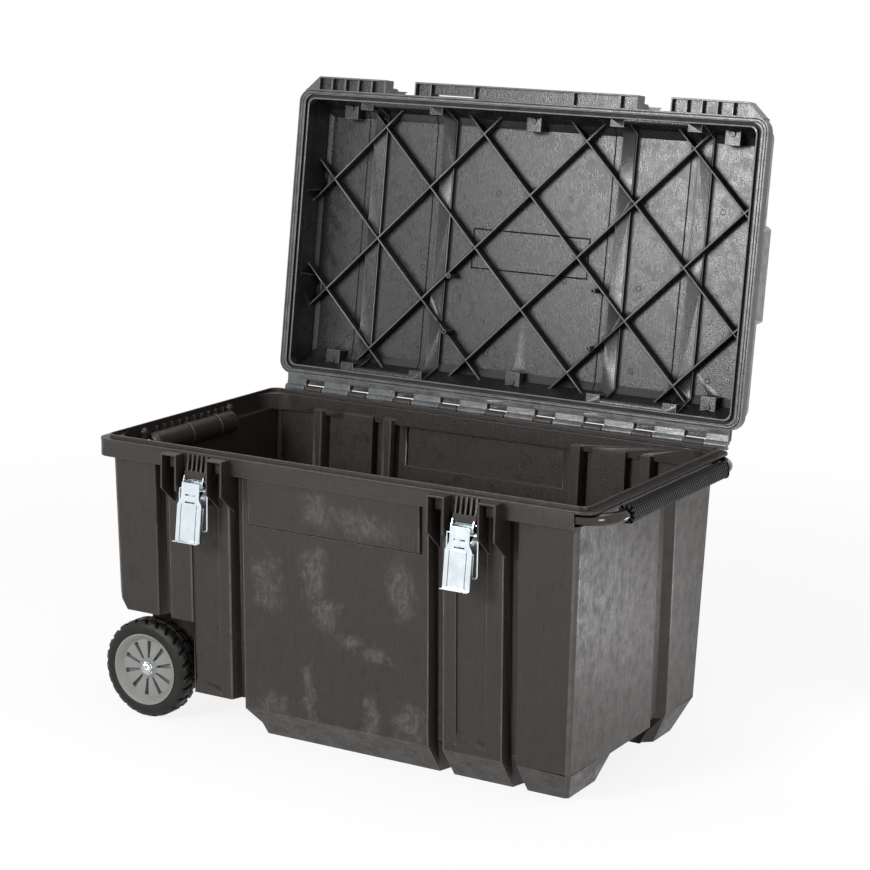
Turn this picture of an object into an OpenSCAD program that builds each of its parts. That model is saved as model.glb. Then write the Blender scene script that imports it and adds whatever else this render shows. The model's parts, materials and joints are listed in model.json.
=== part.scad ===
// Rolling job chest: a drafted, moulded tub with a hinged lid, two draw latches,
// a pull handle that slides in the rim and two wheels on a through axle.
// X runs towards the handle end, Y towards the hinge, Z up; the floor is Z = 0.

/* [Tub] */
// Length of the mouth, between the tongue's inner edges
mouth_l = 894; // [820:2:960]
// Width of the mouth, between the tongue's inner edges
mouth_w = 500; // [460:2:560]
// Height of the ledge that the lid closes on
ledge_z = 482; // [440:1:540]
// Height of the sealing tongue above the ledge
tongue_h = 6; // [4:0.5:8]
// Thickness of the sealing tongue
tongue_t = 3; // [2:0.25:4]
// Overhang of the rim past the tongue's inner edge, at the ends
rim_end_w = 18; // [16:0.5:24]
// Overhang of the rim past the tongue's inner edge, at the sides
rim_side_w = 14; // [13:0.5:18]
// Corner radius of the rim seen from above
rim_r = 25; // [18:1:34]
// Thickness of the rim plate
rim_plate_t = 4; // [3:0.25:5]
// Drop of the skirt below the rim plate
skirt_h = 26; // [24:1:36]
// Thickness of the skirt
skirt_t = 2.5; // [2:0.25:2.75]
// Wall thickness of the tub
wall_t = 4.5; // [3.5:0.25:6]
// Set-back of the end walls from the rim's outer edge
end_setback = 28; // [26:1:34]
// Set-back of the side walls from the rim's outer edge
side_setback = 12; // [10:0.5:16]
// Lean of the end walls over their height
end_draft = 9; // [5:0.5:14]
// Lean of the side walls over their height
side_draft = 15; // [10:0.5:20]
// Height of the sloping band above the floor
bevel_h = 54; // [40:1:70]
// How far that band runs in under the ends
bevel_end = 22; // [14:1:30]
// How far that band runs in under the sides
bevel_side = 41; // [30:1:50]
// Leg of the flat on each upright corner
corner_leg = 5; // [4:0.5:10]

/* [Wheel end] */
// Height of the shelf over the wheels
well_h = 185; // [182:1:210]
// Reach of the wheel well in from the end wall at the shelf
well_l = 136; // [130:1:150]
// Slope cut off the end wall just above the shelf
well_slope = 31; // [20:1:40]
// Height of the raised belly between well and floor
belly_h = 62; // [50:1:80]
// Length of the raised belly
belly_l = 95; // [80:1:110]
// Length of the slope from the belly down to the floor
belly_slope = 27; // [15:1:40]
// Length of the hand-hold under the wheel-end rim
hold_l = 232; // [180:2:260]
// Radius of the hand-hold's rounded inside
hold_r = 17.5; // [15:0.5:18]
// Place of the hand-hold's middle, towards the hinge
hold_y = -24; // [-30:1:0]
// How far the two collars stand out of it
collar_out = 2; // [1:0.5:3]

/* [Wall panels] */
// Half width of the middle panel, to its grooves
panel_half = 176; // [160:1:186]
// Width of each groove at its mouth
groove_w = 26; // [20:1:28]
// Depth of each groove
groove_d = 20; // [12:1:22]
// Place of the outer groove at the wheel end
groove_wheel_x = 337; // [330:1:342]
// Place of the outer groove at the handle end
groove_handle_x = 322; // [320:1:340]
// Height of the groove tops
groove_top = 457; // [430:1:457]
// Depth of the band pressed in between the latch gussets
band_d = 4; // [2:0.5:8]
// Height over which that band fades out at its lower end
band_fade = 22; // [12:1:40]
// Thickness of the backing block behind each latch
backing_t = 17; // [12:0.5:20]
// Height of the lower edge of that block
backing_z = 225; // [200:5:300]
// How far the blank plate stands out of the middle panel
plate_out = 5; // [3:0.5:6]
// Height of the blank plate's lower edge
plate_z = 374; // [340:2:400]
// Half width of the blank plate
plate_half = 162; // [140:1:170]
// Depth of the upright groove in the handle end
end_groove_d = 14; // [8:0.5:16]
// Width of that groove at its mouth
end_groove_w = 60; // [50:1:66]
// Place of its middle, at the bottom of the wall
end_groove_y = 92; // [85:1:100]
// How far the bay in front of it is set back
end_bay_d = 2.5; // [1.5:0.5:4]
// Lean of the handle end's upright lines, in degrees
end_line_lean = 2.4; // [0:0.2:3]
// Height of the arch between the feet at the handle end
arch_h = 46; // [30:1:50]
// Half width of that arch at its top
arch_half = 86; // [70:1:95]
// Half distance between the feet
foot_gap_half = 100; // [96:1:115]

/* [Lid] */
// Height of the lid above the ledge
lid_h = 82; // [76:1:100]
// Thickness of the lid's walls and roof
lid_t = 4.5; // [3.5:0.25:5]
// Height of the lid's upright rim
lid_rim_h = 20; // [18:1:24]
// Set-back of the roof from the rim, at the ends
roof_end_in = 21; // [18:1:28]
// Set-back of the roof from the rim, front and back
roof_side_in = 36; // [28:1:40]
// Opening of the lid past the closed position, in degrees
lid_open = 97; // [92:0.5:100]
// Gap between lid and ledge when it is shut
lid_gap = 0.4; // [0.3:0.1:1]
// Distance between crossings of the diagonal ribs, along the lid
cell_x = 206; // [196:1:210]
// Distance between crossings of the diagonal ribs, across the lid
cell_y = 205; // [196:1:210]
// Height of the diagonal ribs
lattice_h = 20; // [14:1:26]
// Thickness of the diagonal ribs
lattice_t = 2.6; // [2:0.1:3.5]
// Width of the beads that cross the lid
bead_w = 24; // [18:1:30]
// Depth of those beads
bead_d = 6; // [4:0.5:8]
// Place of the inner pair of beads
bead_in_x = 180; // [174:1:186]
// Place of the outer pair of beads
bead_out_x = 326; // [320:1:334]
// Place of the outer screw bosses
boss_x = 381; // [370:1:384]
// Width of a screw boss
boss_w = 28; // [20:1:30]
// Height of a screw boss
boss_h = 27; // [22:1:32]
// Width of the clip blocks under the rim
clip_w = 26; // [16:1:30]
// How far the lid's front lip stands out of its rim
lip_out = 24; // [20:1:26]
// Height of the lip
lip_h = 30; // [24:1:36]
// Depth of the hollows in the lip
lip_cell_d = 10; // [6:1:20]
// Width of the gap in the lip for each latch
lip_gap = 62; // [60:1:66]

/* [Hinge] */
// Distance of the hinge line behind the rim
hinge_out = 26; // [23:0.5:30]
// Radius of the hinge knuckles
knuckle_r = 7.5; // [6.5:0.25:8]
// Radius of the hinge pin
hinge_pin_r = 3; // [2:0.25:4]
// Distance from one tub knuckle to the next
knuckle_pitch = 96; // [92:1:104]
// Length of each tub knuckle
knuckle_l = 34; // [26:1:44]
// Gap between the knuckles of tub and lid
knuckle_gap = 3; // [0.5:0.5:5]

/* [Latches] */
// Distance of each latch from the middle
latch_x = 252; // [250:0.5:256]
// Half distance between the inner gussets
gusset_in = 31; // [30.5:0.5:33]
// Half distance between the outer gussets
gusset_out = 59; // [54:1:64]
// Thickness of a gusset
gusset_t = 3; // [2:0.25:4]
// Reach of the gussets past the rim
gusset_reach = 23; // [21:0.5:25]
// Height of the latch lever's pivot below the ledge
pivot_drop = 52; // [50:0.5:54]
// Length of the lever below its pivot
lever_l = 92; // [86:1:100]
// Half width of the lever at its shoulders
lever_half = 24; // [22:0.25:25]
// Half width of the lever's neck
neck_half = 16; // [15:0.25:17]
// Thickness of the pressed steel
steel_t = 1.6; // [1.2:0.1:2]
// Outward lean of the hanging lever, in degrees
lever_lean = 6.5; // [5:0.5:9]
// Length of the wire loop
bail_l = 67; // [62:1:74]
// Radius of the wire
wire_r = 1.5; // [1.2:0.05:1.7]

/* [Pull handle] */
// Radius of the handle tube
tube_r = 9.5; // [8:0.25:9.75]
// Wall thickness of the tube
tube_wall = 1.5; // [1:0.1:2]
// Distance of the tubes from the middle of the tub
tube_y = 250.75; // [250:0.25:251]
// Radius of the tube's bends
bend_r = 60; // [56:1:64]
// Distance of the grip from the rim's edge
grip_out = 17; // [16:0.5:24]
// Length of the grip
grip_l = 366; // [320:2:370]
// Height of the grip's section
grip_h = 26; // [23:0.5:28]
// Width of the grip's section
grip_w = 24; // [22:0.5:26]
// How far the tubes reach into the rim
tube_in = 500; // [460:5:520]

/* [Wheels] */
// Outer radius of the tyre
tyre_r = 85; // [80:1:88]
// Height of the wheels above the floor while the feet stand on it
wheel_clear = 1; // [0.5:0.5:3]
// Width of the tyre
tyre_w = 45; // [40:1:46]
// Radius of the rim that the tyre sits on
seat_r = 62; // [56:1:66]
// Number of tread blocks round the tyre
tread_n = 24; // [20:1:30]
// Depth of the tread
tread_d = 5; // [2.5:0.25:6]
// Number of spokes
spoke_n = 10; // [8:1:12]
// Distance of the axle from the end wall's outer face
axle_in = 51; // [50:1:54]
// Distance of the tyre's outer face from the middle
tyre_y = 247; // [245:0.5:249]
// Radius of the axle
axle_r = 6; // [5:0.25:7]
// Radius of the axle's push-on caps
cap_r = 12; // [10:0.5:13]

/* [Hidden] */
$fn = 48;
fuse = 1;            // overlap that joins shapes of one moulding
skirt_in = 0.8;      // step from the rim's edge in to the skirt
fit = 0.3;           // clearance between pieces that slide or stand by each other
run_fit = 0.06;      // radial clearance of pins and shafts

plastic = [0.15, 0.15, 0.155];
rubber = [0.07, 0.07, 0.07];
zinc = [0.78, 0.80, 0.82];
dark_steel = [0.20, 0.19, 0.18];
grey_rim = [0.55, 0.57, 0.57];

// Tub, seen from above
mouth_x = mouth_l / 2;
mouth_y = mouth_w / 2;
rim_x = mouth_x + rim_end_w;
rim_y = mouth_y + rim_side_w;
top_x = rim_x - end_setback;
top_y = rim_y - side_setback;
low_x = top_x - end_draft;
low_y = top_y - side_draft;
foot_x = low_x - bevel_end;
foot_y = low_y - bevel_side;
rim_under = ledge_z - rim_plate_t;
skirt_z = rim_under - skirt_h;
neck_z = skirt_z + 3;
channel_t = 3;       // floor of the handle channel, between wall and neck
skirt_end_x = rim_x - 32;

// Wheel end, seen from the front
shelf_end_x = low_x - 13;
well_x = -shelf_end_x + well_l;
belly_x = well_x + belly_l;
floor_x = belly_x + belly_slope;

// The neck is the upper part of the wall; the handle tubes run beside it
neck_t = 3.5;
tube_z = rim_under - tube_r - 0.5;
neck_y = tube_y - tube_r - 0.5;
neck_x = rim_x - 14;
grip_x = rim_x + grip_out;
bend_x = grip_x - bend_r;
bend_y = tube_y - bend_r;
neck_corner = bend_r - tube_r - 0.7;

// Hinge line
hinge_y = rim_y + hinge_out;
hinge_z = ledge_z + 1;
knuckle_n = floor((rim_x - knuckle_l) / knuckle_pitch);

// Latches
gusset_y = rim_y + gusset_reach;
pad_rib_t = 3.4;
pivot_z = ledge_z - pivot_drop;
pad_y = rim_y + 2;
pad_half = 20;
base_t = 1.6;
pivot_y = pad_y + base_t + 10.6;
plate_off = 7;
flange_x = neck_half;
ear_x = flange_x + steel_t + 0.4;
bail_drop = 6;
panel_in = 7;         // margin of the lever's raised panel
panel_up = 0.8;       // how far that panel stands out
bail_x = lever_half + wire_r + 1.7;
pin_r = 2;

// Wheels
axle_x = -(low_x - axle_in);
axle_z = tyre_r + wheel_clear;
web_t = 5;
washer_t = 1.6;
hub_in_y = tyre_y - tyre_w - 6;
web_y = hub_in_y - washer_t - fit;
hub_out_y = tyre_y - 9;
hub_r = 15;
slot_w = 5.8;         // width of a slot between tread blocks
spoke_deep = 18;      // depth of the slots between the spokes, from the rim's lip

function arc_points(cx, cy, r, from, n) = [for (i = [0:n]) let (a = from + 90 * i / n) [cx + r * cos(a), cy + r * sin(a)]];
function round_rect(hx, hy, r, n = 7) = concat(
    arc_points(hx - r, hy - r, r, 0, n), arc_points(-hx + r, hy - r, r, 90, n),
    arc_points(-hx + r, -hy + r, r, 180, n), arc_points(hx - r, -hy + r, r, 270, n));

// A profile in X and Z, drawn through the whole width
module through_y(pts, len) { rotate([90, 0, 0]) linear_extrude(len, center = true) polygon(pts); }

// A profile in Y and Z, drawn through the whole length
module through_x(pts, len) { rotate([90, 0, 90]) linear_extrude(len, center = true) polygon(pts); }

// A plate with rounded corners between two heights
module slab(hx, hy, r, z0, z1) { translate([0, 0, z0]) linear_extrude(z1 - z0) polygon(round_rect(hx, hy, r)); }

// A closed ring of that outline
module ring(hx, hy, r, width, z0, z1) {
    difference() {
        slab(hx, hy, r, z0, z1);
        slab(hx - width, hy - width, max(r - width, 1), z0 - fuse, z1 + fuse);
    }
}

// Front view of the tub, drawn in by t on every side
function tub_front(t, z1) = [
    [foot_x - t, t], [low_x - t, bevel_h + t / 3], [top_x - t, z1], [-top_x + t, z1],
    [-shelf_end_x - 19 + t, well_h + well_slope + t / 3], [-shelf_end_x + t, well_h + t],
    [well_x + t, well_h + t], [well_x + t, belly_h + t],
    [belly_x + t / 2, belly_h + t], [floor_x + t, 24 + t / 2], [floor_x + t, t]];

// End view of the tub, drawn in by t
function tub_side(t, z1) = [
    [foot_y - t, t], [low_y - t, bevel_h + t / 2], [top_y - t, z1], [-top_y + t, z1],
    [-low_y + t, bevel_h + t / 2], [-foot_y + t, t]];

// Diagonal view, which takes the sharp edge off the four upright corners
function tub_diagonal(leg, z1) = let (
    k = 1 / sqrt(2),
    foot = (foot_x + foot_y - leg) * k,
    low = (low_x + low_y - leg) * k,
    top = (top_x + top_y - leg) * k)
    [[foot, 0], [low, bevel_h + 1], [top, z1], [-top, z1], [-low, bevel_h + 1], [-foot, 0]];

module tub_form(t, z1) {
    long = 2 * rim_x + 100;
    intersection() {
        through_y(tub_front(t, z1), long);
        through_x(tub_side(t, z1), long);
        rotate([0, 0, 45]) through_x(tub_diagonal(corner_leg + 2 * t, z1), 2 * long);
        rotate([0, 0, -45]) through_x(tub_diagonal(corner_leg + 2 * t, z1), 2 * long);
    }
}

// Side wall position at a height
function side_at(z) = z < bevel_h ? foot_y + bevel_side * z / bevel_h
    : low_y + side_draft * (z - bevel_h) / (neck_z - bevel_h);

// One groove in the front wall: a leaning channel that follows wall and bevel down to the floor
module groove(x, depth, mouth) {
    lean = atan2(side_draft, neck_z - bevel_h);
    narrow = mouth * 0.5;
    past = 4;
    wide = mouth + (mouth - narrow) * past / depth;
    shape = [[-wide / 2, -past], [wide / 2, -past], [narrow / 2, depth], [-narrow / 2, depth]];
    translate([x, -low_y, bevel_h]) rotate([lean, 0, 0]) translate([0, 0, -2])
        linear_extrude(groove_top - bevel_h + 2 + depth - groove_d) polygon(shape);
    translate([x, -foot_y, 0]) rotate([atan2(bevel_side, bevel_h), 0, 0]) translate([0, 0, -60])
        linear_extrude(bevel_h / cos(atan2(bevel_side, bevel_h)) + 62) polygon(shape);
}

groove_places = [-groove_wheel_x, -panel_half - groove_w / 2, panel_half + groove_w / 2, groove_handle_x];

// All that is pressed into one side wall; grow = wall thickness gives the inner face
module wall_presses(grow) {
    for (x = groove_places) groove(x, groove_d + grow, groove_w + 2 * grow);
    for (side = [-1, 1]) latch_band(side, grow);
}

// Shallow band below each latch, with the backing block that the latch is riveted through
module latch_band(side, grow) {
    lean = atan2(side_draft, neck_z - bevel_h);
    half = gusset_in - gusset_t - 1 + grow;
    deep = band_d + grow;
    low = 12;
    high = neck_z - bevel_h - 10 + grow;
    translate([side * latch_x, -low_y, bevel_h]) rotate([lean, 0, 0]) {
        through_x([[-4, low - grow], [grow, low - grow], [deep, low + band_fade - grow], [deep, high], [-4, high]], 2 * half);
        if (grow > 0)
            translate([-half, 0, backing_z - bevel_h]) cube([2 * half, backing_t + grow, groove_top + grow - backing_z]);
    }
}

// The blank plate across the top of the middle panel
module blank_plate(grow) {
    lean = atan2(side_draft, neck_z - bevel_h);
    translate([0, -low_y, bevel_h]) rotate([lean, 0, 0])
        translate([-plate_half + grow, -plate_out + grow, plate_z - bevel_h + grow])
            cube([2 * plate_half - 2 * grow, plate_out + fuse + grow, neck_z - plate_z - 2 * grow - 1.5]);
}

// Outer skin of the tub below the neck
module tub_body() {
    difference() {
        union() {
            tub_form(0, neck_z);
            for (m = [0, 1]) mirror([0, m, 0]) blank_plate(0);
        }
        end_arch(0);
        end_presses(0);
    }
}

// Inside of the tub, up through the neck
module tub_cavity() {
    difference() {
        union() {
            tub_form(wall_t, neck_z - channel_t);
            for (m = [0, 1]) mirror([0, m, 0]) blank_plate(wall_t);
            intersection() {
                tub_form(wall_t, neck_z);
                neck_opening(neck_z - channel_t - fuse, neck_z);
            }
            neck_opening(neck_z - 0.01, ledge_z + fuse);
        }
        for (m = [0, 1]) mirror([0, m, 0]) wall_presses(wall_t);
        end_arch(wall_t);
        end_presses(wall_t);
    }
}
module neck_opening(z0, z1) { slab(neck_x - neck_t, neck_y - neck_t, neck_corner - neck_t, z0, z1); }

// The arch between the feet at the handle end; grow = wall thickness gives the inner face
module end_arch(grow) {
    reach = 70 + grow;
    top = arch_h + grow;
    translate([foot_x - reach, 0, 0]) rotate([90, 0, 90]) linear_extrude(140)
        polygon([[-foot_gap_half - grow, -1], [foot_gap_half + grow, -1], [foot_gap_half + 20 + grow, top],
            [-arch_half - grow, top]]);
}

// Upright lines of the handle end: a bay set back a little and a deep groove behind it
module end_presses(grow) {
    high = groove_top - bevel_h - 6 + grow;
    half = end_groove_w / 2 + grow;
    depth = end_groove_d + grow;
    slant = high * tan(end_line_lean);
    front = -arch_half - grow;
    translate([low_x, 0, bevel_h]) rotate([0, atan2(end_draft, neck_z - bevel_h), 0]) {
        rotate([0, 90, 0]) translate([0, 0, -end_bay_d - grow]) linear_extrude(end_bay_d + grow + 4)
            polygon([[20, front], [20, end_groove_y], [-high, end_groove_y - slant], [-high, front - slant]]);
        rotate([end_line_lean, 0, 0]) translate([0, end_groove_y, -12]) linear_extrude(high + 12)
            polygon([[4, -half], [4, half], [0, half], [-depth, half * 0.55], [-depth, -half * 0.55], [0, -half]]);
    }
    translate([foot_x, end_groove_y + 12, 0]) rotate([0, atan2(bevel_end, bevel_h), 0]) translate([0, 0, -40])
        linear_extrude(bevel_h + 44) polygon([[4, -half], [4, half - 12], [0, half - 12], [-depth, half * 0.55 - 12],
            [-depth, -half], [0, -half]]);
}

// Neck, rim plate, tongue and skirt
module tub_rim() {
    difference() {
        slab(neck_x, neck_y, neck_corner, skirt_z, rim_under + fuse);
        tub_cavity();
    }
    difference() {
        slab(rim_x, rim_y, rim_r, rim_under, ledge_z);
        tub_cavity();
    }
    ring(mouth_x + tongue_t, mouth_y + tongue_t, rim_r - 8, tongue_t, ledge_z - fuse, ledge_z + tongue_h);
    difference() {
        ring(rim_x - skirt_in, rim_y - skirt_in, rim_r - skirt_in, skirt_t, skirt_z, rim_under + fuse);
        translate([skirt_end_x, -rim_y - 5, skirt_z - 5]) cube([100, 2 * rim_y + 10, rim_under - skirt_z + 5]);
    }
}

// Gussets, little ribs and the pad that carry one latch
module latch_bay() {
    low_wall = side_at(pivot_z - 44);
    for (x = [-gusset_out, -gusset_in, gusset_in, gusset_out])
        translate([x, 0, 0]) through_x([[-rim_y + 3, rim_under + fuse], [-gusset_y, rim_under + fuse],
            [-gusset_y, pivot_z - 10], [-low_wall + 4, pivot_z - 44], [-low_wall + 4, skirt_z + fuse],
            [-rim_y + 3, skirt_z + fuse]], gusset_t);
    for (side = [-1, 1])
        translate([side * (gusset_in + gusset_out) / 2, -(rim_y + gusset_y - 3) / 2, rim_under - 0.5])
            cube([gusset_out - gusset_in + gusset_t, gusset_reach + 3, 3], center = true);
    for (i = [-2:2])
        translate([9 * i, 0, 0]) through_x([[-rim_y + 2, rim_under + fuse], [-rim_y - 3, rim_under + fuse],
            [-rim_y - 9, skirt_z - 2], [-rim_y + 2, skirt_z - 2]], pad_rib_t);
    translate([-pad_half - 1, -rim_y - 10, skirt_z - 12]) cube([2 * pad_half + 2, 30, 13]);
    translate([-pad_half, -pad_y, pivot_z - 34]) cube([2 * pad_half, pad_y - side_at(pivot_z) + 4, skirt_z - pivot_z + 30]);
}

// Hand-hold: a rounded pocket pressed into the tub just under the wheel-end rim
hold_x = -top_x - 4;
hold_z = neck_z - 5;
hold_out_r = hold_r + neck_t;
dome_r = 9;
module hold_outer() {
    half = hold_l / 2 + neck_t;
    translate([hold_x, hold_y, hold_z]) rotate([90, 0, 0]) rotate_extrude() polygon(concat(
        [[0, half], [0, -half], [hold_out_r, -half]],
        [for (i = [0:6]) [hold_out_r - dome_r + dome_r * cos(15 * i), half - dome_r + dome_r * sin(15 * i)]]));
}
module hold_shell() {
    difference() {
        union() {
            hold_outer();
            for (y = collar_places) translate([hold_x, y, hold_z]) rotate([90, 0, 0])
                cylinder(h = collar_w, r = hold_out_r + collar_out, center = true);
        }
        translate([hold_x - 60, -hold_l, skirt_z - 60]) cube([60, 2 * hold_l, 120]);
    }
}
module hold_inner() {
    intersection() {
        union() {
            translate([hold_x, hold_y, hold_z]) rotate([90, 0, 0]) cylinder(h = hold_l, r = hold_r, center = true);
            translate([hold_x - 30, hold_y - hold_l / 2, hold_z - hold_r]) cube([30, hold_l, 2 * hold_r]);
        }
        translate([-rim_x + skirt_in + skirt_t, -hold_l, 0]) cube([100, 2 * hold_l, 2 * ledge_z]);
    }
}

// Webs beside the wheels that carry the axle, and the end wall between them
module axle_webs() {
    for (m = [0, 1]) mirror([0, m, 0])
        translate([0, web_y - web_t / 2, 0]) difference() {
            union() {
                through_y([[-shelf_end_x + 16, well_h + 2], [well_x + 2, well_h + 2], [well_x + 2, belly_h],
                    [axle_x + 20, axle_z - 20], [axle_x - 14, axle_z - 20], [axle_x - 24, axle_z]], web_t);
                translate([axle_x, 0, axle_z]) rotate([90, 0, 0]) cylinder(h = web_t, r = 22, center = true);
            }
        }
    for (x = [axle_x - 16, axle_x + 20])
        translate([x - 2, -web_y + fuse, well_h - 40]) cube([4, 2 * web_y - 2 * fuse, 42]);
}

// Tub half of the hinge
module tub_knuckles() {
    for (i = [-knuckle_n:1:knuckle_n])
        translate([i * knuckle_pitch, 0, 0]) {
            translate([0, hinge_y, hinge_z]) rotate([0, 90, 0]) cylinder(h = knuckle_l, r = knuckle_r, center = true);
            through_x([[rim_y - 4, rim_under], [hinge_y, hinge_z - knuckle_r], [hinge_y, hinge_z], [hinge_y - 4, ledge_z],
                [rim_y - 4, ledge_z]], knuckle_l);
            for (x = [-knuckle_l / 2 + 1.5, knuckle_l / 2 - 1.5]) translate([x, 0, 0])
                through_x([[rim_y - 3, skirt_z + 2], [rim_y, skirt_z + 2], [hinge_y, hinge_z - knuckle_r],
                    [rim_y - 3, rim_under + fuse]], 3);
        }
}

module tub_shell() {
    color(plastic) difference() {
        union() {
            difference() {
                union() {
                    tub_body();
                    tub_rim();
                }
                difference() {
                    tub_cavity();
                    hold_outer();
                }
                for (m = [0, 1]) mirror([0, m, 0]) wall_presses(0);
            }
            hold_shell();
            for (side = [-1, 1]) translate([side * latch_x, 0, 0]) latch_bay();
            axle_webs();
            tub_knuckles();
            hold_ribs();
        }
        hold_inner();
        translate([0, hinge_y, hinge_z]) rotate([0, 90, 0]) cylinder(h = 2 * rim_x, r = hinge_pin_r, center = true);
        translate([axle_x, 0, axle_z]) rotate([90, 0, 0]) cylinder(h = 2 * web_y + 20, r = axle_r, center = true);
        rivet_holes();
    }
}

// Ten thin ribs on the wall above the hand-hold, and a round post at each end of it
collar_places = [hold_y - 16, hold_y + 69];
collar_w = 3;
post_r = 8;
module hold_ribs() {
    first = hold_y - hold_l / 2 + 22;
    pitch = (hold_l - 34) / 9;
    for (i = [0:9]) translate([-neck_x + neck_t - fuse, first + i * pitch - 0.9, neck_z + 4])
        cube([7, 1.8, rim_under - neck_z - 3]);
    for (y = [hold_y - hold_l / 2 - 14, hold_y + hold_l / 2 + 8]) translate([-neck_x + neck_t + 2, y, hold_z]) {
        cylinder(h = ledge_z - hold_z - 4 - post_r / 2, r = post_r);
        translate([0, 0, ledge_z - hold_z - 4 - post_r / 2]) sphere(r = post_r);
    }
}

module rivet_holes() {
    for (side = [-1, 1], x = [-10, 10]) translate([side * latch_x + x, -pad_y, pivot_z - 24]) rotate([90, 0, 0])
        cylinder(h = 24, r = 2.1, center = true);
}

// Pose of everything on the lid: shapes below are drawn with the lid shut
module on_lid() { translate([0, hinge_y, hinge_z]) rotate([-lid_open, 0, 0]) translate([0, -hinge_y, -hinge_z]) children(); }

lid_z = ledge_z + lid_gap;
lid_rim_z = lid_z + lid_rim_h;
roof_z = lid_z + lid_h;
roof_x = rim_x - roof_end_in;
roof_y = rim_y - roof_side_in;

// The lid's hood, drawn in by t, as the common part of its end and side views
module hood(t, z0) {
    intersection() {
        through_y([[rim_x - 8 - t, z0], [rim_x - 8 - t, lid_rim_z], [roof_x - t + 3, roof_z - 8], [roof_x - t - 5, roof_z - t],
            [-roof_x + t + 5, roof_z - t], [-roof_x + t - 3, roof_z - 8], [-rim_x + 8 + t, lid_rim_z], [-rim_x + 8 + t, z0]],
            3 * rim_y);
        through_x([[rim_y - 7 - t, z0], [rim_y - 7 - t, lid_rim_z], [roof_y - t + 8, roof_z - 12], [roof_y - t - 6, roof_z - t],
            [-roof_y + t + 6, roof_z - t], [-roof_y + t - 8, roof_z - 12], [-rim_y + 7 + t, lid_rim_z], [-rim_y + 7 + t, z0]],
            3 * rim_x);
        slab(rim_x - 8 - t, rim_y - 7 - t, rim_r - 8, z0 - fuse, roof_z + fuse);
    }
}

// The swelling in the middle of each end of the lid
module end_swell(t) {
    for (m = [0, 1]) mirror([m, 0, 0]) intersection() {
        through_y([[0, lid_rim_z - 8 + t], [rim_x - t, lid_rim_z - 8 + t], [rim_x - t, lid_rim_z + 4], [roof_x + 13 - t, roof_z - 8],
            [roof_x + 5 - t, roof_z - t], [0, roof_z - t]], 3 * rim_y);
        translate([roof_x - 40, 0, 0]) linear_extrude(2 * roof_z)
            polygon([[0, -75 + t], [28, -90 + t], [40 + roof_end_in, -75 + t], [40 + roof_end_in, 75 - t], [28, 90 - t], [0, 75 - t]]);
    }
}

bead_places = [-bead_out_x, -bead_in_x, bead_in_x, bead_out_x];
boss_places = [-boss_x, 0, boss_x];
boss_y = roof_y + 1;
screw_y = boss_y + 5;

// Beads pressed into roof and side walls; grow = wall thickness gives the inner face
module bead(x, grow) {
    depth = bead_d + grow;
    half = bead_w / 2 + grow;
    shape = [[-half, 1], [half, 1], [half - 3, -depth], [-half + 3, -depth]];
    translate([x, 0, roof_z]) rotate([90, 0, 0]) linear_extrude(3 * rim_y, center = true) polygon(shape);
    slope = atan2(roof_side_in - 8 - 7, lid_h - 12 - lid_rim_h);
    for (m = [0, 1]) mirror([0, m, 0])
        translate([x, -rim_y + 7, lid_rim_z]) rotate([-slope, 0, 0]) translate([0, 0, 2]) linear_extrude(lid_h)
            polygon([for (p = shape) [p[0], -p[1]]]);
}

// Diagonal rib lattice: lines through every second crossing of a square net
module lattice() {
    angle = atan2(cell_y, cell_x);
    reach = 3 * rim_x;
    for (m = [0, 1]) mirror([m, 0, 0])
        for (c = [-5:2:5])
            translate([c * cell_x / 2, 0, 0]) rotate([0, 0, angle])
                translate([-reach / 2, -lattice_t / 2, roof_z - lid_t - lattice_h]) cube([reach, lattice_t, lattice_h + fuse]);
}

// Screw bosses, stop blocks and the rounded bars between them, just inside the rim
module lid_blocks() {
    for (m = [0, 1]) mirror([0, m, 0]) {
        for (x = boss_places)
            translate([x - boss_w / 2, -boss_y - boss_w / 2, roof_z - lid_t - boss_h]) cube([boss_w, boss_w, boss_h + fuse]);
        for (x = bead_places) translate([x - clip_w / 2, -mouth_y + 1, lid_z + 13]) cube([clip_w, 17, 16]);
        for (side = [-1, 1]) translate([side * (bead_in_x + bead_out_x) / 2, -mouth_y + 5, lid_z + 21])
            rotate([0, 90, 0]) cylinder(h = bead_out_x - bead_in_x - clip_w + 2, r = 7, center = true);
    }
}

// Four small tube bosses on the ribs
module tube_bosses(r, h) {
    for (x = [-146, 146], y = [55, 157]) translate([x, y, roof_z - lid_t - h]) cylinder(h = h + fuse, r = r);
}

// Front lip: hollow blocks with ribs, left and right, and the lifting grip between the latches
module lip_block(x0, x1, cuts, clip) {
    y0 = -rim_y - lip_out;
    difference() {
        translate([x0, y0, lid_z]) cube([x1 - x0, lip_out + 9, lip_h]);
        for (i = [0:len(cuts) - 2])
            translate([cuts[i] + 1.5, y0 + 3, lid_z - fuse]) cube([cuts[i + 1] - cuts[i] - 3, lip_out - 3, lip_cell_d + fuse]);
        translate([0, 0, lid_z - 5]) linear_extrude(lip_h + 10)
            polygon([[clip * rim_x * 1.2, y0 - 5], [clip * (rim_x - 41), y0 - 5], [clip * (rim_x - 41), y0],
                [clip * (rim_x - 14), -rim_y + 1], [clip * rim_x * 1.2, -rim_y + 1]]);
    }
}
gap_out = latch_x + lip_gap / 2;
gap_in = latch_x - lip_gap / 2;
lip_cuts = [-gap_in + 1, -188, -98, 98, 188, gap_in - 1];
function even_cuts(a, b, n) = [for (i = [0:n]) a + (b - a) * i / n];

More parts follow.
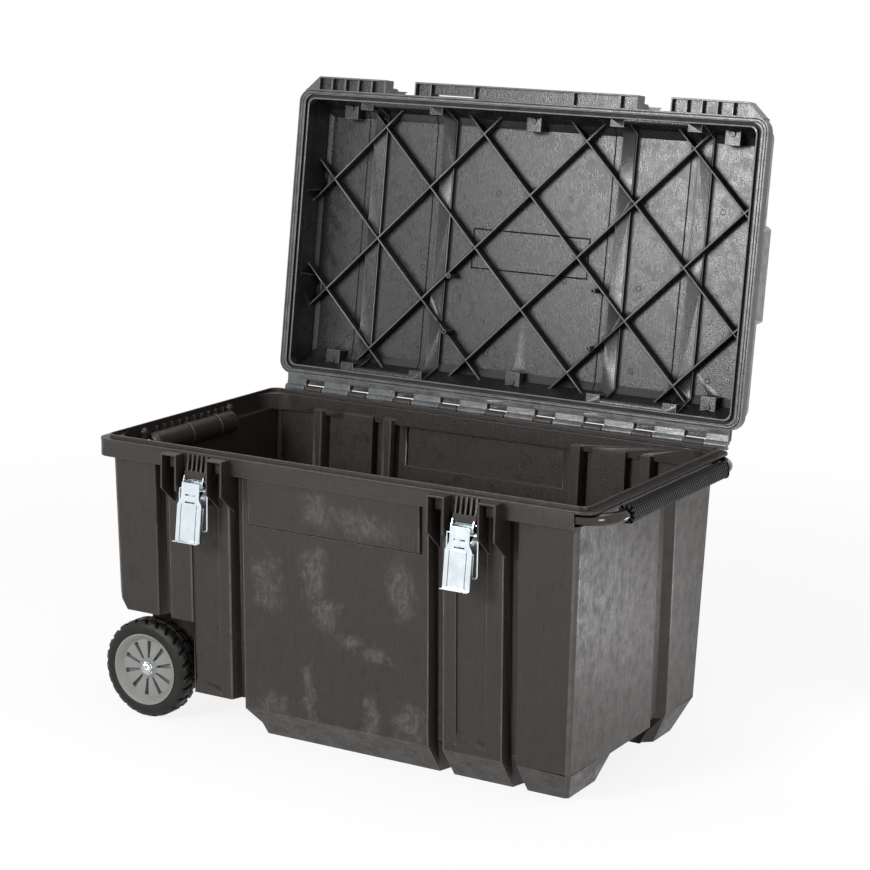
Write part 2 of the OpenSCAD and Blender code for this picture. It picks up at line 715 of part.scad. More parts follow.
module lid_lips() {
    lip_block(-rim_x + 12, -gap_out, even_cuts(-rim_x + 40, -gap_out - 1, 5), -1);
    lip_block(gap_out, rim_x - 12, even_cuts(gap_out + 1, rim_x - 40, 5), 1);
    difference() {
        lip_block(-gap_in, gap_in, lip_cuts, 5);
        for (x = [-22, 22]) translate([x, -rim_y - lip_out / 2, lid_z + lip_h]) {
            translate([-4, 0, 0]) cylinder(h = 20, r = 3.6, center = true);
            translate([4, 0, 0]) cylinder(h = 20, r = 3.6, center = true);
            cube([8, 7.2, 20], center = true);
        }
        translate([lip_cuts[1] + 2, -rim_y - 4, lid_z - fuse]) cube([lip_cuts[2] - lip_cuts[1] - 4, 2.6, lip_h + 2 * fuse]);
    }
    for (x = [-gap_out - 1.8, -gap_in + 1.8, gap_in - 1.8, gap_out + 1.8]) translate([x, 0, 0]) gap_cheek();
}

// Cheek beside a latch gap: it carries the lip's end back onto the slope of the hood
module gap_cheek() {
    top = lid_z + 53;
    out = 11;
    through_x(concat([[-rim_y + 20, lid_rim_z + 2], [-rim_y + 2, lid_rim_z - 4], [-rim_y - out, lid_rim_z - 4]],
        [for (i = [0:5]) [-rim_y - out * cos(18 * i), top - out + out * sin(18 * i)]],
        [[-rim_y + 20, top]]), 3);
}

// Lid half of the hinge: knuckles between those of the tub, each on a web from the rim,
// joined by a strip along the rim and by a cover over the knuckles' backs
strip_w = 8;
cover_z = hinge_z + knuckle_r + 1.3;
cover_short = 4;
module lid_knuckles() {
    edge = rim_x - 20;
    for (i = [-knuckle_n - 1:1:knuckle_n]) {
        a = max(i * knuckle_pitch + knuckle_l / 2 + knuckle_gap, -edge);
        b = min((i + 1) * knuckle_pitch - knuckle_l / 2 - knuckle_gap, edge);
        if (b - a > 12) translate([(a + b) / 2, 0, 0]) {
            translate([0, hinge_y, hinge_z]) rotate([0, 90, 0]) cylinder(h = b - a, r = knuckle_r, center = true);
            through_x([[rim_y - 4, lid_z], [rim_y + 8, lid_z + 1], [hinge_y - 4, hinge_z], [hinge_y, hinge_z + knuckle_r],
                [rim_y - 4, lid_z + 14]], b - a);
        }
    }
    translate([-edge, rim_y - 4, lid_z + 0.7]) cube([2 * edge, 4 + strip_w, cover_z + 1 - lid_z]);
    translate([-edge - 1, rim_y - 4, cover_z]) cube([2 * edge + 2, hinge_out - cover_short, 3]);
}

// Groove under the lid's rim that takes tongue and seal
seal_w = tongue_t + 3;
module seal_groove(z0, z1) {
    ring(mouth_x + tongue_t + 1.5, mouth_y + tongue_t + 1.5, rim_r - 6.5, seal_w, z0, z1);
}

module lid_shell() {
    color(plastic) on_lid() difference() {
        union() {
            difference() {
                union() {
                    slab(rim_x, rim_y, rim_r, lid_z, lid_rim_z);
                    hood(0, lid_rim_z - fuse);
                    end_swell(0);
                }
                for (x = bead_places) bead(x, 0);
                difference() {
                    union() {
                        hood(lid_t, lid_rim_z - 2 * fuse);
                        end_swell(lid_t);
                        slab(mouth_x - 4, mouth_y - 4, rim_r - 12, lid_z - fuse, lid_rim_z);
                    }
                    for (x = bead_places) bead(x, lid_t);
                    lattice();
                    lid_blocks();
                    tube_bosses(4.5, 32);
                }
            }
            lid_lips();
            lid_knuckles();
        }
        seal_groove(lid_z - fuse, lid_z + tongue_h + 4.2);
        tube_bosses(2.2, 32.5);
        translate([0, hinge_y, hinge_z]) rotate([0, 90, 0]) cylinder(h = 2 * rim_x, r = hinge_pin_r + run_fit, center = true);
        screw_holes(2);
        keeper_seats();
    }
}

module lid_seal() { color(rubber) on_lid() seal_groove(lid_z + tongue_h + 0.4, lid_z + tongue_h + 4.2); }

module hinge_pin() {
    color(zinc) translate([0, hinge_y, hinge_z]) rotate([0, 90, 0]) cylinder(h = 2 * (rim_x - 18), r = hinge_pin_r, center = true);
}

// Six screws stand in the bosses inside the lid
module screw_holes(r) {
    for (m = [0, 1]) mirror([0, m, 0]) for (x = boss_places)
        translate([x, -screw_y, roof_z - lid_t - boss_h - 1]) cylinder(h = 18, r = r);
}
module lid_screws() {
    color(zinc) on_lid() for (m = [0, 1]) mirror([0, m, 0]) for (x = boss_places)
        translate([x, -screw_y, roof_z - lid_t - boss_h]) difference() {
            union() {
                translate([0, 0, -2.4]) cylinder(h = 2.4, r = 4.4);
                cylinder(h = 15, r = 2);
            }
            translate([0, 0, -3]) cylinder(h = 2, r = 1.8, $fn = 6);
        }
}

// Blackened steel keepers let into the lid's rim, which the wire loops hook over
keeper_y = rim_y - 2.4;
keeper_half = 18;
keeper_low = lid_z + 3.4;
keeper_rivet_x = 13;
keeper_rivet_z = lid_z + 13.5;
hook_half = 10;
hook_reach = steel_t + 2 * wire_r + 1.2;
module keeper_seats() {
    for (side = [-1, 1]) translate([side * latch_x, 0, 0])
        translate([-keeper_half - fit, -rim_y - 1, keeper_low - fit])
            cube([2 * keeper_half + 2 * fit, rim_y - keeper_y + 1, lid_rim_h]);
    keeper_holes();
}
module keeper_holes() {
    for (side = [-1, 1], x = [-keeper_rivet_x, keeper_rivet_x])
        translate([side * latch_x + x, -keeper_y, keeper_rivet_z]) rotate([90, 0, 0]) cylinder(h = 12, r = 2, center = true);
}
module lid_keepers() {
    color(dark_steel) on_lid() difference() {
        for (side = [-1, 1]) translate([side * latch_x, 0, 0]) {
            translate([-keeper_half, -keeper_y - steel_t, keeper_low]) cube([2 * keeper_half, steel_t, 14]);
            through_x([[-keeper_y - 0.6, keeper_low + 0.2], [-keeper_y - 0.6, keeper_low + 0.2 + steel_t],
                [-keeper_y - hook_reach, keeper_low + 0.2 + steel_t], [-keeper_y - hook_reach, keeper_low + 8],
                [-keeper_y - hook_reach - steel_t, keeper_low + 8], [-keeper_y - hook_reach - steel_t, keeper_low + 0.2]],
                2 * hook_half);
        }
        keeper_holes();
    }
}
module keeper_rivets() {
    color(dark_steel) on_lid() for (side = [-1, 1], x = [-keeper_rivet_x, keeper_rivet_x])
        translate([side * latch_x + x, -keeper_y - steel_t, keeper_rivet_z]) rotate([90, 0, 0]) {
            cylinder(h = 1.2, r = 3.2);
            translate([0, 0, -7]) cylinder(h = 7.5, r = 2);
        }
}

// U-shaped steel tube
module handle_path(r) {
    inner_x = skirt_end_x - tube_in;
    for (m = [0, 1]) mirror([0, m, 0]) {
        translate([inner_x, -tube_y, tube_z]) rotate([0, 90, 0]) cylinder(h = bend_x - inner_x, r = r);
        translate([bend_x, -bend_y, tube_z]) rotate([0, 0, -90]) rotate_extrude(angle = 90) translate([bend_r, 0]) circle(r = r);
    }
    translate([grip_x, 0, tube_z]) rotate([90, 0, 0]) cylinder(h = 2 * bend_y, r = r, center = true);
}
module handle_tube() {
    color(dark_steel) difference() {
        handle_path(tube_r);
        handle_path(tube_r - tube_wall);
        for (m = [0, 1]) mirror([0, m, 0]) translate([skirt_end_x - tube_in - 1, -tube_y, tube_z]) rotate([0, 90, 0])
            cylinder(h = 30, r = tube_r - tube_wall);
    }
}

// Moulded grip with a flange at each end
module handle_grip() {
    color(plastic) translate([grip_x, 0, tube_z]) rotate([90, 0, 0]) difference() {
        union() {
            linear_extrude(grip_l, center = true) polygon(round_rect(grip_w / 2, grip_h / 2, 7, 5));
            for (z = [-grip_l / 2 + 1.5, grip_l / 2 - 1.5]) translate([0, 0, z])
                linear_extrude(3, center = true) polygon(round_rect(grip_w / 2 + 1.2, grip_h / 2 + 1.2, 8, 5));
        }
        cylinder(h = grip_l + 2, r = tube_r, center = true);
    }
}

// Plugs in the tubes' inner ends; their square shoes stop the handle at the bushes
shoe_t = 4;
module handle_end_plugs() {
    end_x = skirt_end_x - tube_in;
    color(rubber) for (m = [0, 1]) mirror([0, m, 0]) {
        translate([end_x - shoe_t, -tube_y - tube_r - 0.1, neck_z + 1])
            cube([shoe_t, 2 * tube_r + 0.2, rim_under - neck_z - 1.5]);
        translate([end_x - 0.5, -tube_y, tube_z]) rotate([0, 90, 0]) cylinder(h = 20, r = tube_r - tube_wall);
    }
}

// Guide bushes between neck and skirt, at the mouth of each tube channel
bush_l = 28;
bush_x = bend_x - 1 - bush_l;
module handle_bushes() {
    channel_y = rim_y - skirt_in - skirt_t;
    color(rubber) for (m = [0, 1]) mirror([0, m, 0]) difference() {
        translate([bush_x, -channel_y, neck_z]) cube([bush_l, channel_y - neck_y, rim_under - neck_z]);
        translate([bush_x - 1, -tube_y, tube_z]) rotate([0, 90, 0])
            cylinder(h = bush_l + 2, r = tube_r + run_fit);
    }
}

// Latch base: a plate with two ears for the lever's pin
module latch_base(side) {
    color(zinc) translate([side * latch_x, -pad_y, 0]) difference() {
        union() {
            translate([-ear_x - base_t - 0.2, -base_t, pivot_z - 32]) cube([2 * (ear_x + base_t + 0.2), base_t, 40]);
            for (m = [0, 1]) mirror([m, 0, 0]) translate([ear_x + base_t / 2, pad_y - pivot_y, pivot_z])
                through_x([[pivot_y - pad_y - 0.2, -4], [pivot_y - pad_y - 0.2, 6], [3.7, 7], [3.7, 16], [0.5, 16], [-3.5, 5],
                    [-4, 0], [-2.6, -2.9], [0, -4.2]], base_t);
        }
        translate([0, pad_y - pivot_y, pivot_z]) rotate([0, 90, 0]) cylinder(h = 100, r = pin_r, center = true);
        for (x = [-10, 10]) translate([x, 0, pivot_z - 24]) rotate([90, 0, 0]) cylinder(h = 20, r = 2.1, center = true);
    }
}
module latch_base_left() { latch_base(-1); }
module latch_base_right() { latch_base(1); }

module latch_rivets() {
    color(zinc) for (side = [-1, 1], x = [-10, 10])
        translate([side * latch_x + x, -pad_y - base_t, pivot_z - 24]) rotate([90, 0, 0]) {
            cylinder(h = 1.6, r = 3.6);
            translate([0, 0, -10]) cylinder(h = 10.5, r = 2.1);
        }
}

module latch_pins() {
    color(zinc) for (side = [-1, 1]) translate([side * latch_x, -pivot_y, pivot_z]) rotate([0, 90, 0])
        cylinder(h = 2 * (ear_x + base_t + 0.8), r = pin_r, center = true);
}

// Lever: pressed channel with shoulders, side flanges, two slots and a turned-out lip
module latch_lever(side) {
    flat = -plate_off - steel_t;
    color(zinc) translate([side * latch_x, -pivot_y, pivot_z]) rotate([-lever_lean, 0, 0]) difference() {
        union() {
            translate([0, -plate_off, 0]) rotate([90, 0, 0]) linear_extrude(steel_t)
                polygon([[-neck_half - steel_t, 5], [neck_half + steel_t, 5], [neck_half + steel_t, -20], [lever_half, -32],
                    [lever_half - 0.5, -lever_l], [-lever_half + 0.5, -lever_l], [-lever_half, -32], [-neck_half - steel_t, -20]]);
            for (m = [0, 1]) mirror([m, 0, 0]) {
                translate([flange_x + steel_t / 2, 0, 0])
                    through_x([[-plate_off - 0.4, 5], [0, 6], [4, 3], [4, -bail_drop - 4], [-1, -bail_drop - 9],
                        [-plate_off - 0.4, -bail_drop - 12]], steel_t);
                translate([lever_half - steel_t, -plate_off - 0.4, -lever_l]) cube([steel_t, 6, lever_l - 34]);
            }
            translate([-lever_half - 0.5, flat - 7, -lever_l - steel_t]) cube([2 * lever_half + 1, 7 + steel_t, steel_t]);
            translate([-lever_half + panel_in, flat - panel_up, -lever_l + 4])
                cube([2 * (lever_half - panel_in), panel_up + 0.4, lever_l - 36]);
        }
        for (z = [-15, -27]) translate([-10, flat - 3, z - 1.2]) cube([20, 8, 2.4]);
        rotate([0, 90, 0]) cylinder(h = 100, r = pin_r + run_fit, center = true);
        translate([0, 0, -bail_drop]) rotate([0, 90, 0]) cylinder(h = 100, r = wire_r + run_fit, center = true);
    }
}
module latch_lever_left() { latch_lever(-1); }
module latch_lever_right() { latch_lever(1); }

// Wire loop: hooks turned in through the lever's flanges, two legs and a cross bar
bail_y = pivot_y + bail_drop * sin(lever_lean);
bail_z = pivot_z - bail_drop * cos(lever_lean);
module latch_bail(side) {
    bend = 4;
    color(zinc) translate([side * latch_x, -bail_y, bail_z]) for (m = [0, 1]) mirror([m, 0, 0]) {
        translate([flange_x - 0.2, 0, 0]) rotate([0, 90, 0]) cylinder(h = bail_x - flange_x + 0.2, r = wire_r);
        translate([bail_x, 0, 0]) sphere(r = wire_r, $fn = 24);
        translate([bail_x, 0, -bail_l + bend]) cylinder(h = bail_l - bend, r = wire_r);
        translate([bail_x - bend, 0, -bail_l + bend]) rotate([90, 0, 0]) rotate([0, 0, -90])
            rotate_extrude(angle = 90) translate([bend, 0]) circle(r = wire_r);
        translate([-fuse, 0, -bail_l]) rotate([0, 90, 0]) cylinder(h = bail_x - bend + fuse, r = wire_r);
    }
}
module latch_bail_left() { latch_bail(-1); }
module latch_bail_right() { latch_bail(1); }

module axle() {
    color(zinc) translate([axle_x, 0, axle_z]) rotate([90, 0, 0]) cylinder(h = 2 * (hub_out_y + 2), r = axle_r, center = true);
}
module axle_caps() {
    color(zinc) for (m = [0, 1]) mirror([0, m, 0]) translate([axle_x, -hub_out_y - fit, axle_z]) rotate([90, 0, 0]) difference() {
        union() {
            cylinder(h = 1.2, r = cap_r);
            cylinder(h = 4.5, r = cap_r - 2);
            translate([0, 0, 4.5]) rotate_extrude() polygon([[0, 0], [cap_r - 2, 0], [cap_r - 5, 1.8], [0, 2.6]]);
        }
        translate([0, 0, -1]) cylinder(h = 3, r = axle_r);
    }
}
module axle_washers() {
    color(zinc) for (m = [0, 1]) mirror([0, m, 0]) translate([axle_x, -web_y, axle_z]) rotate([90, 0, 0]) difference() {
        cylinder(h = washer_t, r = 13);
        translate([0, 0, -1]) cylinder(h = washer_t + 2, r = axle_r);
    }
}

// Wheel rim: dished disc with wedge spokes between narrow slots
module wheel_rim() {
    deep = tyre_w - 4;
    color(grey_rim) translate([axle_x, -tyre_y, axle_z]) rotate([-90, 0, 0]) difference() {
        rotate_extrude() polygon([[axle_r + run_fit, 9], [hub_r, 9], [hub_r + 2, 11], [seat_r - 12, 11], [seat_r - 4, 1.5], [seat_r - 2, 0],
            [seat_r, 0], [seat_r, deep], [seat_r - 4, deep], [seat_r - 6, 30], [seat_r - 14, 26], [hub_r + 3, 26], [hub_r, 30],
            [hub_r, tyre_w + 6], [axle_r + run_fit, tyre_w + 6]]);
        for (i = [0:spoke_n - 1]) rotate([0, 0, (i + 0.4) * 360 / spoke_n]) translate([0, 0, 5]) linear_extrude(spoke_deep)
            polygon([[hub_r + 3, -1.4], [seat_r - 14.5, -3.4], [seat_r - 14.5, 3.4], [hub_r + 3, 1.4]]);
    }
}
module wheel_rim_front() { wheel_rim(); }
module wheel_rim_rear() { mirror([0, 1, 0]) wheel_rim(); }

// Tyre: a round carcass with slanted slots that leave blocks in a herringbone, and a groove round the middle
module tread_slots(place, lean, turn) {
    step = 360 / tread_n;
    for (i = [0:tread_n - 1]) rotate([0, 0, (i + turn) * step]) translate([tyre_r - tread_d, 0, place])
        rotate([lean, 0, 0]) translate([0, -slot_w / 2, -tyre_w / 4 - 1]) cube([tread_d + 3, slot_w, tyre_w / 2 + 2]);
}
module tyre() {
    mid = tyre_w / 2;
    color(rubber) translate([axle_x, -tyre_y, axle_z]) rotate([-90, 0, 0]) difference() {
        rotate_extrude() polygon([[seat_r, 1], [seat_r + 8, 0], [tyre_r - 9, 0.6], [tyre_r - 2, 5], [tyre_r, 10],
            [tyre_r, mid - 1.3], [tyre_r - 3, mid - 1.3], [tyre_r - 3, mid + 1.3], [tyre_r, mid + 1.3],
            [tyre_r, tyre_w - 10], [tyre_r - 2, tyre_w - 5], [tyre_r - 9, tyre_w - 0.6], [seat_r + 8, tyre_w],
            [seat_r, tyre_w - 1]]);
        tread_slots(mid / 2 - 2, 28, 0);
        tread_slots(tyre_w - mid / 2 + 2, -28, 0.5);
    }
}
module tyre_front() { tyre(); }
module tyre_rear() { mirror([0, 1, 0]) tyre(); }

tub_shell();
lid_shell();
lid_seal();
hinge_pin();
lid_keepers();
keeper_rivets();
lid_screws();
handle_tube();
handle_grip();
handle_end_plugs();
handle_bushes();
latch_base_left();
latch_base_right();
latch_rivets();
latch_pins();
latch_lever_left();
latch_lever_right();
latch_bail_left();
latch_bail_right();
axle();
axle_caps();
axle_washers();
wheel_rim_front();
wheel_rim_rear();
tyre_front();
tyre_rear();
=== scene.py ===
import json
import math
import bmesh
import bpy
from mathutils import Matrix, Vector

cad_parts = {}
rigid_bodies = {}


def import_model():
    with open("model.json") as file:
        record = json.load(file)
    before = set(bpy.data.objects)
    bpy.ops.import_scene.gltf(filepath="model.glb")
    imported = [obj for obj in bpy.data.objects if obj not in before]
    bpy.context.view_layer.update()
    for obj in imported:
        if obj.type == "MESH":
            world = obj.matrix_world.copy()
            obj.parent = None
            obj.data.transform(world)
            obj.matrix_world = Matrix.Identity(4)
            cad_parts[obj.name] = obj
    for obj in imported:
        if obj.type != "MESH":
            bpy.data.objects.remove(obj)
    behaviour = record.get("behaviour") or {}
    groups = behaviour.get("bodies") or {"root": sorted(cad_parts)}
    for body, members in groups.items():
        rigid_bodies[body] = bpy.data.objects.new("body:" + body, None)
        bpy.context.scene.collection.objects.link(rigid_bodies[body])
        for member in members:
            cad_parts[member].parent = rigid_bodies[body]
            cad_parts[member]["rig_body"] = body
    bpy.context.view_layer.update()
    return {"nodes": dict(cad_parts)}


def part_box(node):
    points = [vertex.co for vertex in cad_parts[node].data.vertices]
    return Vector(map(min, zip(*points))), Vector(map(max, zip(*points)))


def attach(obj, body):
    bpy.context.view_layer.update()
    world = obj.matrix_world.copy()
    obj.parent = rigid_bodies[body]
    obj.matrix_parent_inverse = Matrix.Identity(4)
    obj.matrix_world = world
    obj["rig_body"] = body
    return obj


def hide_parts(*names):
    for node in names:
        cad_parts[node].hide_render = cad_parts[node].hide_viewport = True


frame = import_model()

# Camera: it stands in front of the chest, a little to the right and above the open rim,
# and looks with a long lens, so that the upright edges stay almost parallel.
IMAGE_SIDE = 870
FOCAL_PIXELS = 2379.22
VIEW_CENTRE_X = 435.8
VIEW_CENTRE_Y = 424.7
SENSOR = 36.0
CAMERA_PLACE = Vector((1.9604, -3.3658, 1.3407))
AZIMUTH = math.radians(29.68)
ELEVATION = math.radians(11.953)
ROLL = math.radians(1.238)


def camera_axes(azimuth, elevation, roll):
    """Right, up and back of a camera that is turned, raised and rolled."""
    back = Vector((math.sin(azimuth) * math.cos(elevation), -math.cos(azimuth) * math.cos(elevation),
                   math.sin(elevation)))
    level = Vector((math.cos(azimuth), math.sin(azimuth), 0))
    above = back.cross(level)
    right = level * math.cos(roll) + above * math.sin(roll)
    return right, back.cross(right), back


camera = bpy.data.objects.new("camera", bpy.data.cameras.new("camera"))
bpy.context.scene.collection.objects.link(camera)
camera_turn = Matrix(camera_axes(AZIMUTH, ELEVATION, ROLL)).transposed().to_4x4()
camera.matrix_world = Matrix.Translation(CAMERA_PLACE) @ camera_turn
camera.data.sensor_width = SENSOR
camera.data.lens = FOCAL_PIXELS * SENSOR / IMAGE_SIDE
camera.data.shift_x = (IMAGE_SIDE / 2 - VIEW_CENTRE_X) / IMAGE_SIDE
camera.data.shift_y = (VIEW_CENTRE_Y - IMAGE_SIDE / 2) / IMAGE_SIDE
bpy.context.scene.camera = camera
bpy.context.scene.view_settings.view_transform = "Standard"

# Floor and studio light: a white sweep in an even white room, with a soft lamp in front of the
# chest, two beyond its handle end that give that wall its sheen, and one overhead.
FLOOR_HALF = 6.0
FLOOR_WHITE = (0.92, 0.92, 0.92, 1)
PURE_WHITE = (1, 1, 1, 1)
ROOM_LIGHT = 0.5
SHADOW_SHARE = 0.14
SHADOW_NEAR = 1.0
SHADOW_FAR = 2.6


def new_material(name):
    """An empty material and its node tree."""
    material = bpy.data.materials.new(name)
    material.use_nodes = True
    material.node_tree.nodes.clear()
    return material, material.node_tree


def put(tree, value, socket):
    """Links a socket's value, or sets a plain one."""
    if isinstance(value, bpy.types.NodeSocket):
        tree.links.new(value, socket)
    else:
        socket.default_value = value


def calc(tree, operation, *values):
    """One step of arithmetic."""
    node = tree.nodes.new("ShaderNodeMath")
    node.operation = operation
    for value, socket in zip(values, node.inputs):
        put(tree, value, socket)
    return node.outputs[0]


def fade(tree, value, low, high, to_low=0.0, to_high=1.0):
    """Takes a value smoothly from one range to another, and holds it at the ends."""
    node = tree.nodes.new("ShaderNodeMapRange")
    node.interpolation_type = "SMOOTHSTEP"
    for name, given in (("Value", value), ("From Min", low), ("From Max", high), ("To Min", to_low),
                        ("To Max", to_high)):
        put(tree, given, node.inputs[name])
    return node.outputs[0]


def seen_directly(tree):
    """1 for rays from the camera, and for those that metal or gloss sends back, else 0."""
    path = tree.nodes.new("ShaderNodeLightPath").outputs
    sent_on = calc(tree, "MAXIMUM", path["Is Glossy Ray"], path["Is Transmission Ray"])
    return calc(tree, "MAXIMUM", path["Is Camera Ray"], sent_on)


def white_room():
    """Even light from all sides, pure white where the camera sees it."""
    world = bpy.data.worlds.new("white_room")
    bpy.context.scene.world = world
    world.use_nodes = True
    tree = world.node_tree
    tree.nodes.clear()
    glow = tree.nodes.new("ShaderNodeBackground")
    glow.inputs["Color"].default_value = PURE_WHITE
    strength = calc(tree, "MULTIPLY_ADD", seen_directly(tree), 1 - ROOM_LIGHT, ROOM_LIGHT)
    put(tree, strength, glow.inputs["Strength"])
    put(tree, glow.outputs[0], tree.nodes.new("ShaderNodeOutputWorld").inputs["Surface"])


def sweep_paint():
    """White paint that shows a share of the chest's shadow near it, and is pure white far away."""
    material, tree = new_material("white_sweep")
    paint = tree.nodes.new("ShaderNodeBsdfDiffuse")
    paint.inputs["Color"].default_value = FLOOR_WHITE
    glow = tree.nodes.new("ShaderNodeEmission")
    glow.inputs["Color"].default_value = PURE_WHITE
    mix = tree.nodes.new("ShaderNodeMixShader")
    reach = tree.nodes.new("ShaderNodeVectorMath")
    reach.operation = "LENGTH"
    put(tree, tree.nodes.new("ShaderNodeTexCoord").outputs["Object"], reach.inputs[0])
    only_white = fade(tree, reach.outputs["Value"], SHADOW_NEAR, SHADOW_FAR, 1 - SHADOW_SHARE, 1.0)
    put(tree, calc(tree, "MULTIPLY", seen_directly(tree), only_white), mix.inputs["Fac"])
    put(tree, paint.outputs[0], mix.inputs[1])
    put(tree, glow.outputs[0], mix.inputs[2])
    put(tree, mix.outputs[0], tree.nodes.new("ShaderNodeOutputMaterial").inputs["Surface"])
    return material


def soft_lamp(name, place, aim, width, height, power):
    """A flat lamp at a place, turned towards a point."""
    data = bpy.data.lights.new(name, "AREA")
    data.shape = "RECTANGLE"
    data.size = width
    data.size_y = height
    data.energy = power
    lamp = bpy.data.objects.new(name, data)
    lamp.location = place
    lamp.rotation_mode = "QUATERNION"
    lamp.rotation_quaternion = (Vector(aim) - Vector(place)).to_track_quat("-Z", "Y")
    lamp.visible_camera = False
    bpy.context.scene.collection.objects.link(lamp)


white_room()
floor_mesh = bpy.data.meshes.new("floor")
floor_corners = [(x, y, 0) for x, y in ((-FLOOR_HALF, -FLOOR_HALF), (FLOOR_HALF, -FLOOR_HALF),
                                        (FLOOR_HALF, FLOOR_HALF), (-FLOOR_HALF, FLOOR_HALF))]
floor_mesh.from_pydata(floor_corners, [], [(0, 1, 2, 3)])
floor = bpy.data.objects.new("floor", floor_mesh)
bpy.context.scene.collection.objects.link(floor)
floor_mesh.materials.append(sweep_paint())
soft_lamp("front_lamp", place=(-0.78, -2.9, 1.58), aim=(0.3, 0.3, 0.75), width=0.9, height=1.0, power=80)
soft_lamp("sheen_lamp", place=(0.9, 0.45, 0.1), aim=(0.44, -0.2, 0.25), width=0.25, height=0.18, power=1.3)
soft_lamp("right_lamp", place=(2.2, -1.25, 0.5), aim=(0.44, -0.2, 0.3), width=0.5, height=0.9, power=12)
soft_lamp("top_lamp", place=(0.4, 0.2, 3.2), aim=(0.0, 0.0, 0.4), width=2.0, height=2.0, power=24)

# Tub: one deep moulding in black structural plastic, drafted so that it leaves its mould,
# with pressed grooves, a flanged rim and a fine drag texture left by the tool.
TUB_EDGE = 0.0024
END_EDGE = 0.0042
CORNER_EDGE = 0.0033
SMALL_EDGE = 0.0006
LONG_FROM = 0.07
END_FROM = 0.41
CORNER_FROM = 0.2
STEP_ASIDE = 0.094
STEP_REACH = 0.02
WELD = 2e-6
FACE_WEIGHT = 95
WORN_AND_HIGHLIT_EDGE_SLOT = 1


def rounded_copy(name, node, edge_size, segments=2, sharp_from=22):
    """A piece built from a CAD solid, its proud edges rounded by one size or by a function of the edge."""
    cad = frame["nodes"][node]
    shape = bmesh.new()
    shape.from_mesh(cad.data)
    bmesh.ops.remove_doubles(shape, verts=shape.verts, dist=WELD)
    bmesh.ops.dissolve_degenerate(shape, edges=shape.edges, dist=WELD)
    weights = shape.edges.layers.float.new("bevel_weight_edge")
    sizes = {}
    for edge in shape.edges:
        if len(edge.link_faces) == 2 and edge.calc_face_angle(0) > math.radians(sharp_from):
            if edge.is_convex:
                sizes[edge] = edge_size(edge) if callable(edge_size) else edge_size
            else:
                edge.smooth = False
    widest = max(sizes.values())
    for edge, size in sizes.items():
        edge[weights] = size / widest
    for face in shape.faces:
        face.smooth = True
    mesh = bpy.data.meshes.new(name)
    shape.to_mesh(mesh)
    shape.free()
    piece = bpy.data.objects.new(name, mesh)
    bpy.context.scene.collection.objects.link(piece)
    rounding = piece.modifiers.new("rounding", "BEVEL")
    rounding.limit_method = "WEIGHT"
    rounding.width = widest
    rounding.segments = segments
    rounding.use_clamp_overlap = False
    facing = piece.modifiers.new("facing", "WEIGHTED_NORMAL")
    facing.keep_sharp = True
    facing.weight = FACE_WEIGHT
    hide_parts(node)
    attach(piece, cad["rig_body"])
    return piece


def tub_edge_size(edge):
    """Long upright edges of the walls are well rounded, most so at the handle end; others only broken."""
    low, high = sorted((v.co for v in edge.verts), key=lambda place: place.z)
    if high.z - low.z < LONG_FROM:
        return SMALL_EDGE
    if min(low.x, high.x) < END_FROM or abs(low.y + STEP_ASIDE) < STEP_REACH:
        return TUB_EDGE
    return CORNER_EDGE if abs(low.y) > CORNER_FROM else END_EDGE


def painted(piece, material, edge_wear_and_highlight=None):
    """Gives a new piece its material, and its rounded edges a paler one: rubbed wear with a painted
    highlight.
    """
    piece.data.materials.clear()
    piece.data.materials.append(material)
    if edge_wear_and_highlight:
        piece.data.materials.append(edge_wear_and_highlight)
        piece.modifiers["rounding"].material = WORN_AND_HIGHLIT_EDGE_SLOT


def new_group(name, inputs, outputs):
    """A shader node group whose named inputs carry numbers and whose named outputs are numbers."""
    group = bpy.data.node_groups.new(name, "ShaderNodeTree")
    for socket_name, value in inputs.items():
        socket = group.interface.new_socket(name=socket_name, in_out="INPUT", socket_type="NodeSocketFloat")
        socket.default_value = value
    for socket_name in outputs:
        group.interface.new_socket(name=socket_name, in_out="OUTPUT", socket_type="NodeSocketFloat")
    return group, group.nodes.new("NodeGroupInput").outputs, group.nodes.new("NodeGroupOutput").inputs


def grouped(tree, group, **inputs):
    """Places a node group in a material with its own values."""
    node = tree.nodes.new("ShaderNodeGroup")
    node.node_tree = group
    for name, value in inputs.items():
        put(tree, value, node.inputs[name.replace("_", " ")])
    return node.outputs


def place_on(tree, stretch=(1, 1, 1), shift=(0, 0, 0)):
    """The surface's own place in metres, stretched and shifted."""
    coordinates = tree.nodes.new("ShaderNodeTexCoord")
    mapping = tree.nodes.new("ShaderNodeMapping")
    tree.links.new(coordinates.outputs["Object"], mapping.inputs["Vector"])
    mapping.inputs["Scale"].default_value = stretch
    mapping.inputs["Location"].default_value = shift
    return mapping.outputs[0]


def axes(tree, place):
    """The three numbers of a place."""
    node = tree.nodes.new("ShaderNodeSeparateXYZ")
    put(tree, place, node.inputs[0])
    return node.outputs["X"], node.outputs["Y"], node.outputs["Z"]


def noise(tree, place, scale, detail, roughness, distortion):
    """A noise texture laid on a place."""
    node = tree.nodes.new("ShaderNodeTexNoise")
    put(tree, place, node.inputs["Vector"])
    for name, value in (("Scale", scale), ("Detail", detail), ("Roughness", roughness),
                        ("Distortion", distortion)):
        put(tree, value, node.inputs[name])
    return node.outputs


def clouds(tree, place, scale, detail=2.0, roughness=0.5, distortion=0.0):
    """Smooth random clouds between 0 and 1."""
    return noise(tree, place, scale, detail, roughness, distortion)["Fac"]


def blended(tree, share, first, second):
    """A colour between two others."""
    node = tree.nodes.new("ShaderNodeMix")
    node.data_type = "RGBA"
    put(tree, share, node.inputs["Factor"])
    for value, name in ((first, "A"), (second, "B")):
        socket = next(s for s in node.inputs if s.name == name and s.type == "RGBA")
        put(tree, value if isinstance(value, bpy.types.NodeSocket) else (*value, 1), socket)
    return next(s for s in node.outputs if s.type == "RGBA")


